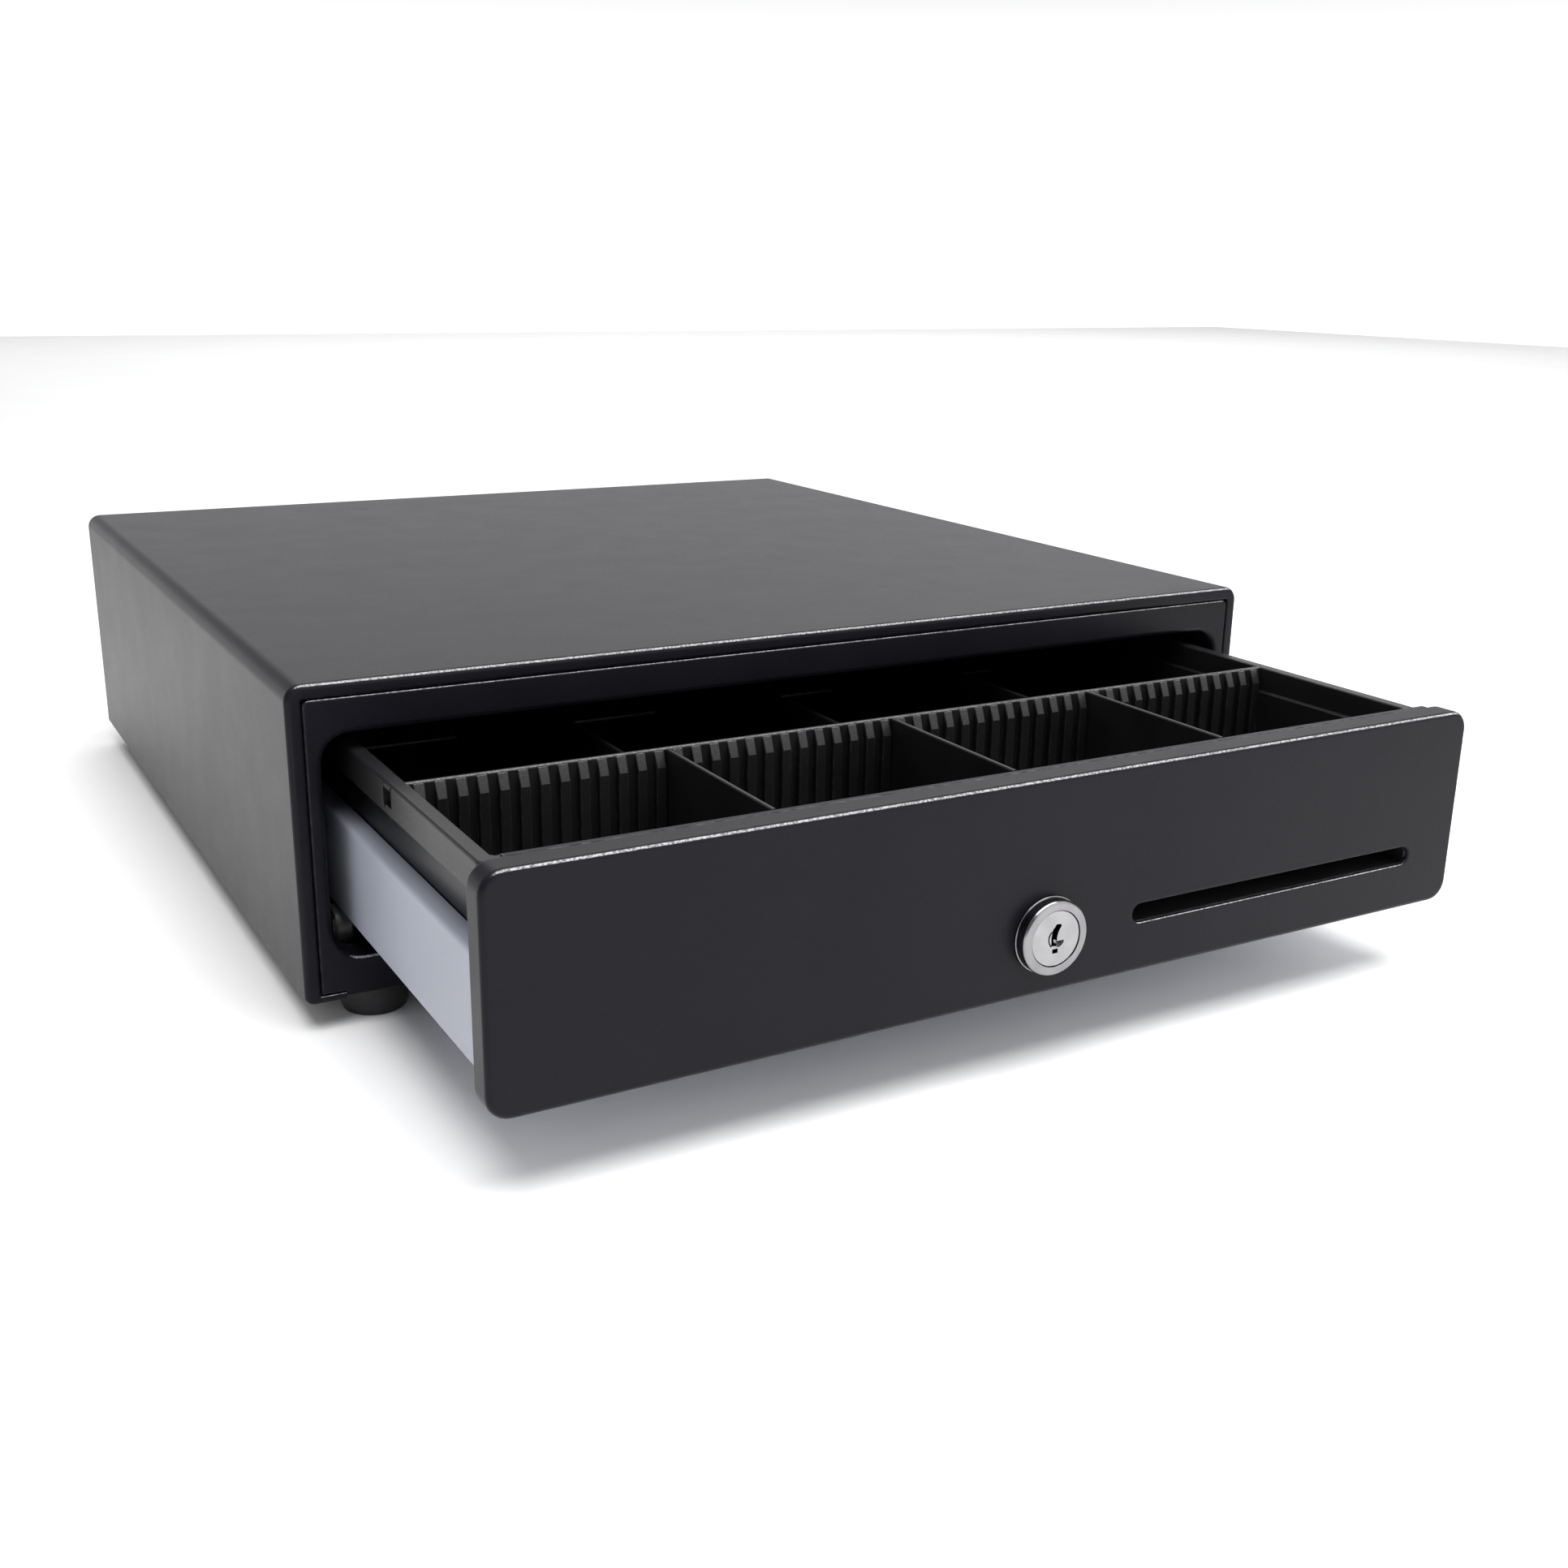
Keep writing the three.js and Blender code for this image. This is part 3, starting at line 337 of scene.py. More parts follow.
def spread(tree, value, low, high, start=0.35, end=0.65):
    """Maps start and end, which are the middle of a noise unless given, to low and high."""
    return node(tree, "ShaderNodeMapRange", {
        "Value": value, "From Min": start, "From Max": end, "To Min": low, "To Max": high}).outputs["Result"]


def combine(tree, operation, first, second):
    return node(tree, "ShaderNodeMath", {0: first, 1: second}, operation=operation).outputs[0]


def blend_colour(tree, factor, first, second):
    ends = [value if isinstance(value, bpy.types.NodeSocket) else (*value, 1) for value in (first, second)]
    mix = node(tree, "ShaderNodeMix", {"Factor": factor, 6: ends[0], 7: ends[1]}, data_type="RGBA")
    return mix.outputs[2]


# Mask for the painted highlight on bends that face up and to the front.
def bend_mask(tree, start, full):
    """1 on a bend that turns from facing up to facing the front, 0 on flats.

    It goes by the product of the normal's slopes in y and z, from start to full."""
    normal = node(tree, "ShaderNodeSeparateXYZ", {0: node(tree, "ShaderNodeNewGeometry").outputs["Normal"]})
    turned = combine(tree, "MULTIPLY", normal.outputs["Y"], normal.outputs["Z"])
    return spread(tree, turned, 0, 1, start, full)


def edge_mask(tree, radius):
    """1 on edges, 0 on flats: how far a rounded normal leans from the true one."""
    soft = node(tree, "ShaderNodeBevel", {"Radius": radius * MM}, samples=4).outputs["Normal"]
    true = node(tree, "ShaderNodeNewGeometry").outputs["Normal"]
    lean = node(tree, "ShaderNodeVectorMath", {0: soft, 1: true}, operation="DOT_PRODUCT").outputs["Value"]
    return spread(tree, lean, 0, 1, 0.99, 0.86)


# Sizes of noise features. The wear patches and edge band give edge wear, which on the black coat is also a
# painted highlight. The bend flecks break up the painted highlight on bends.
FINE_TONE, DUST_FLECK, HIGHLIGHT_FLECK, WEAR_AND_HIGHLIGHT_PATCH, WEAR_AND_HIGHLIGHT_EDGE = 0.9, 0.45, 0.8, 3.5, 0.6  # millimetres


def finish(name, tones, roughness, grains, mottle, metallic=0.0, specular=0.5, wear_and_highlight=None, wear_and_highlight_amount=0.5,
           stretch=(1, 1, 1), dust=None, painted_highlight=None):
    """A procedural finish: two tones mottled into each other, a roughness range, grains of (size, height).

    The edge wear lightens sharp edges, and on the black coat its bright tone is partly a painted highlight;
    the bend highlight paints a highlight in flecks on the bends that face up and to the front; dust adds fine
    flecks."""
    material = bpy.data.materials.new(name)
    material.use_nodes = True
    tree = material.node_tree
    shader = tree.nodes["Principled BSDF"]
    shader.inputs["Metallic"].default_value = metallic
    shader.inputs["Specular IOR Level"].default_value = specular
    origin = node(tree, "ShaderNodeTexCoord").outputs["Object"]
    where = node(tree, "ShaderNodeMapping", {"Vector": origin, "Scale": stretch}).outputs["Vector"]
    broad = noise(tree, where, mottle, 5)
    fine = noise(tree, where, FINE_TONE, 2)
    colour = blend_colour(tree, spread(tree, broad, 0, 1), *tones)
    if dust:
        flecks = spread(tree, noise(tree, origin, DUST_FLECK, 1), 0, dust, 0.62, 0.8)
        colour = blend_colour(tree, flecks, colour, (0.10, 0.10, 0.10))
    # Edge wear in patches on sharp edges. On the black coat its bright tone is partly a painted highlight
    # along the edges.
    if wear_and_highlight:
        patches = spread(tree, noise(tree, origin, WEAR_AND_HIGHLIGHT_PATCH, 5), 0, wear_and_highlight_amount, 0.42, 0.68)
        worn_and_highlighted = combine(tree, "MULTIPLY", edge_mask(tree, WEAR_AND_HIGHLIGHT_EDGE), patches)
        colour = blend_colour(tree, worn_and_highlighted, colour, wear_and_highlight)
    # Painted highlight: lightens, in flecks, the bends that face up and to the front, where light from above
    # and in front would glint.
    if painted_highlight:
        tone, start, full = painted_highlight
        flecks = spread(tree, noise(tree, origin, HIGHLIGHT_FLECK, 2), 0.3, 1.0, 0.4, 0.6)
        highlighted = combine(tree, "MULTIPLY", bend_mask(tree, start, full), flecks)
        colour = blend_colour(tree, highlighted, colour, tone)
    rough = spread(tree, combine(tree, "ADD", broad, fine), *roughness, 0.75, 1.25)
    tree.links.new(colour, shader.inputs["Base Color"])
    tree.links.new(rough, shader.inputs["Roughness"])
    normal = None
    for size, height in grains:
        bump = node(tree, "ShaderNodeBump", {
            "Height": noise(tree, where, size, 2), "Distance": height * MM, "Strength": 1.0})
        if normal:
            tree.links.new(normal, bump.inputs["Normal"])
        normal = bump.outputs["Normal"]
    tree.links.new(normal, shader.inputs["Normal"])
    return material


LOOKS = {
    "black_coat": dict(
        tones=((0.0046, 0.0042, 0.0070), (0.0056, 0.0051, 0.0082)), roughness=(0.32, 0.36),
        # the edge wear tone here is bright enough to be partly a painted highlight along the edges
        grains=((1.15, 0.034), (0.42, 0.013)), mottle=24, specular=0.125, wear_and_highlight=(0.34, 0.34, 0.35),
        # the bend tone below is a painted highlight along the top front bends
        wear_and_highlight_amount=0.6, dust=0.05, painted_highlight=((0.42, 0.42, 0.43), -0.43, -0.49)),
    "grey_steel": dict(
        tones=((0.285, 0.302, 0.358), (0.305, 0.324, 0.383)), roughness=(0.36, 0.46),
        grains=((1.4, 0.010), (0.5, 0.004)), mottle=45, wear_and_highlight=(0.55, 0.56, 0.60), wear_and_highlight_amount=0.4),
    "zinc_steel": dict(
        tones=((0.52, 0.53, 0.55), (0.64, 0.64, 0.63)), roughness=(0.24, 0.42), grains=((0.5, 0.004),),
        mottle=9, metallic=0.9, stretch=(1, 0.12, 1), wear_and_highlight=(0.75, 0.75, 0.76)),
    "chrome": dict(
        tones=((0.215, 0.211, 0.222), (0.265, 0.261, 0.270)), roughness=(0.14, 0.24),
        grains=((0.35, 0.0022),), mottle=6, metallic=1.0, stretch=(1, 1, 0.25)),
    "satin_chrome": dict(
        tones=((0.285, 0.281, 0.291), (0.335, 0.331, 0.342)), roughness=(0.16, 0.27),
        grains=((0.35, 0.0026),), mottle=6, metallic=1.0),
    "black_plastic": dict(
        tones=((0.010, 0.010, 0.011), (0.015, 0.015, 0.016)), roughness=(0.42, 0.58),
        grains=((0.35, 0.010),), mottle=15, wear_and_highlight=(0.05, 0.05, 0.05), wear_and_highlight_amount=0.4, dust=0.12),
    "till_plastic": dict(
        tones=((0.0065, 0.0065, 0.0073), (0.0090, 0.0090, 0.0100)), roughness=(0.30, 0.40),
        grains=((0.5, 0.010), (0.22, 0.004)), mottle=35, specular=0.28, wear_and_highlight=(0.09, 0.09, 0.092),
        # the bend tone below is a painted highlight on the comb's sloping lead-ins and the rims
        wear_and_highlight_amount=0.45, dust=0.08, painted_highlight=((0.15, 0.15, 0.155), -0.35, -0.48)),
    # A darker copy of the zinc finish, used on the front roller brackets, whose slot stays zinc_steel.
    "darkened_zinc": dict(
        tones=((0.010, 0.010, 0.011), (0.016, 0.016, 0.017)), roughness=(0.35, 0.5),
        grains=((0.5, 0.004),), mottle=9, metallic=0.3, wear_and_highlight=(0.05, 0.05, 0.05)),
    "rubber": dict(
        tones=((0.006, 0.006, 0.007), (0.010, 0.010, 0.012)), roughness=(0.6, 0.75),
        grains=((0.8, 0.02), (0.25, 0.01)), mottle=8, wear_and_highlight=(0.05, 0.05, 0.055), dust=0.2),
    "nylon": dict(
        tones=((0.040, 0.040, 0.042), (0.055, 0.055, 0.057)), roughness=(0.38, 0.5),
        grains=((0.6, 0.006),), mottle=6, wear_and_highlight=(0.11, 0.11, 0.11), dust=0.12),
    "spring_steel": dict(
        tones=((0.42, 0.42, 0.44), (0.55, 0.55, 0.56)), roughness=(0.22, 0.36), grains=((0.2, 0.002),),
        mottle=3, metallic=0.95),
    "coil_winding": dict(
        tones=((0.30, 0.105, 0.035), (0.42, 0.16, 0.055)), roughness=(0.25, 0.4), grains=((0.3, 0.004),),
        mottle=5, metallic=0.6),
    "lead_jacket": dict(
        tones=((0.012, 0.012, 0.013), (0.018, 0.018, 0.019)), roughness=(0.35, 0.5),
        grains=((0.5, 0.006),), mottle=6),
    "floor_paint": dict(
        tones=((0.94, 0.94, 0.94), (0.96, 0.96, 0.96)), roughness=(0.6, 0.7), grains=((3, 0.02),),
        mottle=200),
}
FINISHES = {name: finish(name, **look) for name, look in LOOKS.items()}

# -------------------- camera, lights and floor

LENS, SENSOR = 39.11, 36  # millimetres
EYE = (-0.32745, -0.67332, 0.25529)  # the camera's place, in metres
YAW, PITCH, ROLL = (math.radians(angle) for angle in (-29.70, -17.16, 0.87))
FLOOR_HALF = 5000
SOFTBOXES = (  # name, place, target and size in metres, power in watts
    ("front_box", (1.1, -2.1, 1.05), (0, -0.25, 0.08), (3.4, 1.9), 32),
    ("top_box", (0.05, -0.6, 1.7), (0, -0.3, 0), (1.9, 1.3), 52),
    ("back_box", (2.3, 3.3, 2.4), (2.3, 3.3, 0), (5, 4), 90))


def make_camera():
    """The photograph's view: yaw turns it from +y, pitch tips it up, roll turns the picture."""
    data = bpy.data.cameras.new("photo_camera")
    data.lens = LENS
    data.sensor_width = SENSOR
    data.clip_start = 0.02
    camera = in_scene("photo_camera", data)
    forward = Vector((-math.sin(YAW) * math.cos(PITCH), math.cos(YAW) * math.cos(PITCH), math.sin(PITCH)))
    level = Vector((math.cos(YAW), math.sin(YAW), 0))
    upright = level.cross(forward)
    right = level * math.cos(ROLL) + upright * math.sin(ROLL)
    up = upright * math.cos(ROLL) - level * math.sin(ROLL)
    turn = Matrix((right, up, -forward)).transposed().to_4x4()
    camera.matrix_world = Matrix.Translation(EYE) @ turn
    bpy.context.scene.camera = camera


def make_studio():
    """A pale world, brighter at the horizon and overhead and dimmer in front, with softboxes and a floor."""
    world = bpy.data.worlds.new("studio")
    bpy.context.scene.world = world
    world.use_nodes = True
    tree = world.node_tree
    toward = node(tree, "ShaderNodeSeparateXYZ", {0: node(tree, "ShaderNodeTexCoord").outputs["Generated"]})
    glow = spread(tree, toward.outputs["Z"], 1.2, 0.40, 0.09, 0.23)
    glow = combine(tree, "MULTIPLY", glow, spread(tree, toward.outputs["Z"], 1, 1.6, 0.3, 0.8))
    glow = combine(tree, "MULTIPLY", glow, spread(tree, toward.outputs["Y"], 0.5, 1, -0.6, 0.3))
    background = tree.nodes["Background"]
    background.inputs["Color"].default_value = (0.99, 0.99, 1.0, 1)
    tree.links.new(glow, background.inputs["Strength"])

    for name, position, target, size, power in SOFTBOXES:
        data = bpy.data.lights.new(name, "AREA")
        data.shape = "RECTANGLE"
        data.size, data.size_y = size
        data.energy = power
        lamp = in_scene(name, data)
        lamp.location = position
        lamp.rotation_euler = (Vector(target) - Vector(position)).to_track_quat("-Z", "Y").to_euler()

    reach = (-FLOOR_HALF, FLOOR_HALF)
    floor = make("floor", loft([[Vector((x, y, 0)) for x in reach] for y in reach], closed=False))
    floor.data.materials.append(FINISHES["floor_paint"])
    bpy.context.scene.view_settings.view_transform = "Standard"


make_camera()
make_studio()

# -------------------- housing shell

cover_low, cover_high = corners("housing_cover")
bezel_low, bezel_high = corners("front_bezel")
front_low, front_high = corners("drawer_front")
HOUSING_Y = cover_low.y
DRAWER_Y = front_low.y
GROOVE = 0.5  # between the cover's rim and the bezel
RIM = cover_high.z - bezel_high.z - GROOVE  # width of the cover's front rim
RETURN_EDGE = cover_high.x - 14  # inner edge of the cover's returns
RETURN_RIM = 2.9  # height of the rim along the front of those returns
LOWER_BEND, UPPER_BEND = 3, 6  # outside radii of the cover's bends


def cover_section(inset):
    """The cover's open section, moved inwards: return, side, top, side, return."""
    half = cover_high.x - inset
    bottom = cover_low.z + inset * RETURN_RIM / RIM
    top = cover_high.z - inset
    lower, upper = max(LOWER_BEND - inset, 0.6), max(UPPER_BEND - inset, 1.0)
    return rounded([(-RETURN_EDGE, bottom), (-half, bottom, lower), (-half, top, upper), (half, top, upper),
                    (half, bottom, lower), (RETURN_EDGE, bottom)], steps=8)


def housing_cover():
    """The cover, its front edge bent in and rolled back round the bezel."""
    bend, roll, lip = 2.0, 1.0, 4.5
    length = cover_high.y - HOUSING_Y
    rows = [(0, length), (0, 0.6 * length), (0, 12)]
    rows += [(bend * (1 - math.cos(a)), bend * (1 - math.sin(a))) for a in QUARTER]
    rows += [(RIM - roll + roll * math.sin(a), roll * (1 - math.cos(a))) for a in QUARTER]
    rows.append((RIM, lip))
    rings = [[place("y", HOUSING_Y + depth, *p) for p in cover_section(inset)] for inset, depth in rows]
    cover = make("cover_shell", loft(rings, closed=False))
    thicken(cover, PANEL)
    dress(cover, "housing", "black_coat", ["housing_cover"], edge=0.3)


def fill_between(bm, loops):
    """A flat face bounded by closed loops of vertices, the first outside and the rest holes."""
    edges = []
    for loop in loops:
        for i, vert in enumerate(loop):
            edges.append(bm.edges.get((vert, loop[(i + 1) % len(loop)])))
    bmesh.ops.triangle_fill(bm, edges=edges, use_beauty=True, use_dissolve=False)


def add_bent_edge(bm, outline, radius, y, bend, depth, outwards, behind=1):
    """Rows from a flat face round a bend and straight back, towards +Y or -Y. Returns the row on the face."""
    side = 1 if outwards else -1
    rows = [(-side * bend * (1 - math.sin(a)), bend * (1 - math.cos(a))) for a in QUARTER]
    rows.append((0, depth))
    rings = [[place("y", y + behind * back, *p) for p in grown(outline, radius, by)] for by, back in rows]
    return add_loft(bm, rings)[0]


def pressed_panel(name, node_name, body, *edges):
    """A sheet whose outer edge and holes, each given as for add_bent_edge, are bent back."""
    panel = make(name, lambda bm: fill_between(bm, [add_bent_edge(bm, *edge) for edge in edges]))
    thicken(panel, PANEL)
    dress(panel, body, "black_coat", [node_name], edge=0.2)


def front_bezel():
    closer = 0.22  # the pressed edge swells this far into the groove
    half, top, bottom = bezel_high.x + closer, bezel_high.z + closer, bezel_low.z
    notch_x, notch_z = RETURN_EDGE - GROOVE, cover_low.z + RETURN_RIM + GROOVE - closer
    outer = [(-notch_x, bottom, 0.8), (notch_x, bottom, 0.8), (notch_x, notch_z, 0.8), (half, notch_z, 0.8),
             (half, top, 2.2), (-half, top, 2.2), (-half, notch_z, 0.8), (-notch_x, notch_z, 0.8)]
    jamb, sill, lintel = 194.2, 25, 104
    opening = rectangle(-jamb, jamb, sill, lintel)
    pressed_panel("bezel_frame", "front_bezel", "housing", (outer, 1, HOUSING_Y, 0.75, 1.3, True),
                  (opening, 10, HOUSING_Y, 2.2, bezel_high.y - HOUSING_Y, False))


def bead(x0, x1, y0, y1, base, height):
    """A long raised stiffening bead with sloping sides."""
    rings = [[place("z", base + height * rise, *p) for p in rounded_rectangle(
        x0 + inset, x1 - inset, y0 + inset, y1 - inset, (x1 - x0) / 2 - inset - 0.1)]
        for inset, rise in ((0, -0.4), (0, 0), (0.6, 0.25), (1.8, 0.85), (2.6, 1))]
    return loft(rings, capped=True)


def base_pan():
    low, high = corners("base_pan")
    floor_top = low.z + SHEET
    width = 9
    section = [(low.x, high.z), (low.x, low.z), (high.x, low.z), (high.x, high.z)]
    pan = strip("base_plate", section, "y", low.y, high.y, radius=1.8)
    rear = corners("rail_left")[1].y + 2
    for _, side in SIDES:
        carve(pan, block(*on_side(side, high.x - SHEET - 0.02, high.x + 1), rear, high.y + 1,
                         floor_top + 0.6, high.z + 1))
    for x in (-120, 70):
        for y0, y1 in ((low.y + 48, low.y + 180), (low.y + 200, low.y + 330)):
            fuse(pan, bead(x, x + width, y0, y1, floor_top, 1.6))
            carve(pan, bead(x + 1, x + width - 1, y0 + 1, y1 - 1, low.z, 1.3))
    dress(pan, "housing", "black_coat", ["base_pan"], edge=0.2)


def rear_panel():
    low, high = corners("rear_panel")
    jack_low, jack_high = corners("rj_jack")
    half = (jack_high.x - jack_low.x) / 2 - 3 + 0.4
    middle = (jack_low.x + jack_high.x) / 2
    outer = [(low.x, low.z, 1.4), (high.x, low.z, 1.4), (high.x, high.z, 4), (low.x, high.z, 4)]
    socket_bottom, socket_top = 53.6, 70.4
    socket = rectangle(middle - half, middle + half, socket_bottom, socket_top)
    pressed_panel("back_panel", "rear_panel", "housing", (outer, 1, high.y, 1.2, high.y - low.y, True, -1),
                  (socket, 0.8, high.y, 0.3, 1.1, False, -1))


def screw_head(centre, axis, out, radius, height):
    """A domed head that stands out from centre along an axis, either way."""
    start = centre["xyz".index(axis)]
    dome = [(0, -0.25), (1, -0.25), (1, 0.25), (0.93, 0.55), (0.75, 0.8), (0.45, 0.96), (0, 1)]
    profile = [(radius * share, start + out * rise * height) for share, rise in dome]
    return lathe(profile, axis, across_axis(axis, centre), 32)


def cross(centre, axis, out, radius, height):
    """The cross recess of such a head, as a cutter."""
    start = centre["xyz".index(axis)]
    u, v = across_axis(axis, centre)
    arm, half = radius * 0.58, radius * 0.15
    star = [(arm, -half), (arm, half), (half, half), (half, arm), (-half, arm), (-half, half),
            (-arm, half), (-arm, -half), (-half, -half), (-half, -arm), (half, -arm), (half, -half)]
    depth = sorted((start + out * height * 0.35, start + out * height * 1.5))
    return prism([(u + a, v + b) for a, b in star], axis, *depth)


def screws(name, centres, axis, out, radius, height, body):
    head = (axis, out, radius, height)
    heads = make(name, *[screw_head(centre, *head) for centre in centres])
    carve(heads, together([cross(centre, *head) for centre in centres]))
    dress(heads, body, "zinc_steel", edge=0.08)


def feet():
    recess = 6  # height of the ledge that the screw holds, over the floor
    for end in ("front", "rear"):
        for side, _ in SIDES:
            node_name = f"foot_{end}_{side}"
            low, high = corners(node_name)
            centre = middle_across("z", node_name)
            outer = (high.x - low.x) / 2
            profile = rounded([
                (5, recess), (5, 0, 0.6), (outer - 1.2, 0, 0.9), (outer - 0.5, 2.2, 2),
                (outer, high.z - 2.6, 1), (outer, high.z - 0.9, 0.5), (outer - 0.7, high.z, 0.3),
                (0, high.z)], steps=4)
            profile.append((0, recess))
            foot = make(f"rubber_{node_name}", lathe(profile, "z", centre, 96))
            dress(foot, "housing", "rubber", [node_name], edge=0)
            screws(f"foot_screw_{end}_{side}", [(*centre, recess - 0.1)], "z", -1, 3.9, 2.2, "housing")


def housing_screws():
    rear = corners("rear_panel")[1]
    spots = [(x, rear.y, z) for x in (-188, 0, 188) for z in (22, 111)]
    screws("back_panel_screws", spots, "y", 1, 3.1, 1.1, "housing")
    under = [(side * 198, y, cover_low.z) for _, side in SIDES for y in (HOUSING_Y + 60, HOUSING_Y + 345)]
    screws("cover_screws", under, "z", -1, 3.4, 1.5, "housing")


housing_cover()
front_bezel()
base_pan()
rear_panel()
feet()
housing_screws()

# -------------------- slides and rollers


def rails():
    for name, side in SIDES:
        low, high = corners(f"rail_{name}")
        mouth, web = (high.x, low.x) if side < 0 else (low.x, high.x)
        section = [(mouth, high.z), (web, high.z), (web, low.z), (mouth, low.z)]
        rail = strip(f"slide_rail_{name}", section, "y", low.y, high.y, flip=side < 0)
        stop = sorted((mouth, web - side))
        fuse(rail, block(*stop, low.y, low.y + SHEET, low.z + 1, high.z - 1))
        dress(rail, "housing", "zinc_steel", [f"rail_{name}"], edge=0.15)
        rivets = [(web - side * SHEET, low.y + step, (low.z + high.z) / 2) for step in (30, 178, 326)]
        screws(f"rail_screws_{name}", rivets, "x", -side, 2.6, 0.9, "housing")


def rollers():
    """Nylon wheels, each with a crowned tread and a hub a little proud of its dished faces."""
    bore = 2.7
    hub = bore + 1.5
    for end in ("front", "rear"):
        for side, _ in SIDES:
            node_name = f"{end}_roller_{side}"
            low, high = corners(node_name)
            centre = middle_across("x", node_name)
            radius = (high.z - low.z) / 2
            middle, half = (low.x + high.x) / 2, (high.x - low.x) / 2
            face = [(bore, 0.0), (hub, 0.0), (hub + 0.3, 0.7), (radius - 1.8, 0.7),
                    (radius - 1.3, 0.1), (radius - 0.4, 0.15)]
            profile = [(r, middle - half + step) for r, step in face]
            profile += [(radius - 0.06, middle - half + 0.7), (radius, middle - half * 0.3)]
            profile += [(r, 2 * middle - t) for r, t in reversed(profile)]
            wheel = make(f"{end}_wheel_{side}", lathe(profile, "x", centre, 96))
            dress(wheel, node_name, "nylon", [node_name], edge=0.12)


def roller_brackets():
    """Angles on the base pan, each with the pin that a front roller turns on."""
    pin_end = 180.2
    for name, side in SIDES:
        low, high = corners(f"roller_bracket_{name}")
        centre = middle_across("x", f"front_roller_{name}")
        outside = high.x if side > 0 else low.x
        web, foot = outside - side * SHEET, outside - side * 12.2
        section = [(foot, low.z + SHEET), (web, low.z + SHEET), (web, high.z)]
        bracket = strip(f"wheel_bracket_{name}", section, "y", low.y, high.y, radius=1, flip=side < 0)
        pin = sorted((side * pin_end, outside - side * 0.6))
        fuse(bracket, rod("x", *pin, centre, 2.4, 0.5))
        dress(bracket, "housing", "zinc_steel", [f"roller_bracket_{name}"], edge=0.2, look="darkened_zinc")


def rear_axles():
    """Riveted studs: a head inside the tray, a collar outside it and a pin with a clip's groove."""
    for name, side in SIDES:
        low, high = corners(f"rear_axle_{name}")
        centre = middle_across("x", f"rear_axle_{name}")
        head, tip = (low.x, high.x) if side > 0 else (high.x, low.x)
        length = abs(tip - head)
        steps = [(0, 0), (4.5, 0, 0.7), (4.5, 1.8, 0.2), (2.4, 1.8), (2.4, 3.7), (4, 3.7, 0.3), (4, 8.3, 0.3),
                 (2.4, 8.3), (2.4, length - 1.4), (2.0, length - 1.2), (2.0, length - 0.8),
                 (2.4, length - 0.6), (2.3, length, 0.2), (0, length)]
        profile = [(radius, head + side * along) for radius, along in rounded(steps, steps=3)]
        stud = make(f"wheel_stud_{name}", lathe(profile, "x", centre))
        dress(stud, "drawer", "zinc_steel", [f"rear_axle_{name}"], edge=0.1)


rails()
rollers()
roller_brackets()
rear_axles()

# -------------------- drawer

tray_low, tray_high = corners("drawer_tray")
slot_low, slot_high = corners("media_chute")
SLOT = rectangle(slot_low.x + 2.5, slot_high.x - 2.5, slot_low.z + 2, slot_high.z - 2)
SLOT_RADIUS = (slot_high.z - slot_low.z - 4) / 2 - 0.01
lock_low, lock_high = corners("lock_body")
LOCK_Z = (lock_low.z + lock_high.z) / 2
LOCK_AXIS = (0, LOCK_Z)
BARREL_HOLE = 9.8


def drawer_front():
    outer = rectangle(front_low.x, front_high.x, front_low.z, front_high.z)
    hole = rectangle(-BARREL_HOLE, BARREL_HOLE, LOCK_Z - BARREL_HOLE, LOCK_Z + BARREL_HOLE)
    pressed_panel("front_panel", "drawer_front", "drawer",
                  (outer, 7.5, DRAWER_Y, 1.9, front_high.y - DRAWER_Y, True),
                  (SLOT, SLOT_RADIUS, DRAWER_Y, 0.9, 1.6, False),
                  (hole, BARREL_HOLE - 0.01, DRAWER_Y, 0.3, 1.1, False))


def front_stiffener():
    low, high = corners("front_stiffener")
    section = [(low.y + 8.3, high.z), (high.y, high.z), (high.y, low.z + SHEET / 2)]
    channel = strip("front_channel", section, "x", low.x, high.x, radius=1.2)
    fuse(channel, block(low.x, high.x, low.y, high.y - 0.5, low.z, low.z + SHEET))
    dress(channel, "drawer", "black_coat", ["front_stiffener"], edge=0.2)


def drawer_tray():
    flange, bolt_half, axle_hole = 7, 8.6, 2.7
    section = [(tray_low.x + flange, tray_high.z), (tray_low.x, tray_high.z), (tray_low.x, tray_low.z),
               (tray_high.x, tray_low.z), (tray_high.x, tray_high.z), (tray_high.x - flange, tray_high.z)]
    tray = strip("tray_pan", section, "y", tray_low.y, tray_high.y)
    fuse(tray, block(tray_low.x + 0.5, tray_high.x - 0.5, tray_low.y, tray_low.y + SHEET,
                     tray_low.z + 0.5, tray_high.z - 0.2))
    front, behind = tray_low.y - 1, tray_low.y + SHEET + 1
    window = rectangle(SLOT[0][0] - 1, SLOT[1][0] + 1, SLOT[0][1] - 1, SLOT[2][1] + 1)
    bolt = rounded_rectangle(-bolt_half, bolt_half, DRAWER_Y + 29.4, DRAWER_Y + 33.1, 1)
    axle = middle_across("x", "rear_axle_left")
    carve(tray, prism(rounded(window, 1, closed=True), "y", front, behind),
          cylinder("y", front, behind, LOCK_AXIS, BARREL_HOLE),
          prism(bolt, "z", tray_low.z - 1, tray_low.z + SHEET + 1),
          cylinder("x", tray_low.x - 1, tray_high.x + 1, axle, axle_hole))
    dress(tray, "drawer", "grey_steel", ["drawer_tray"], edge=0.2)


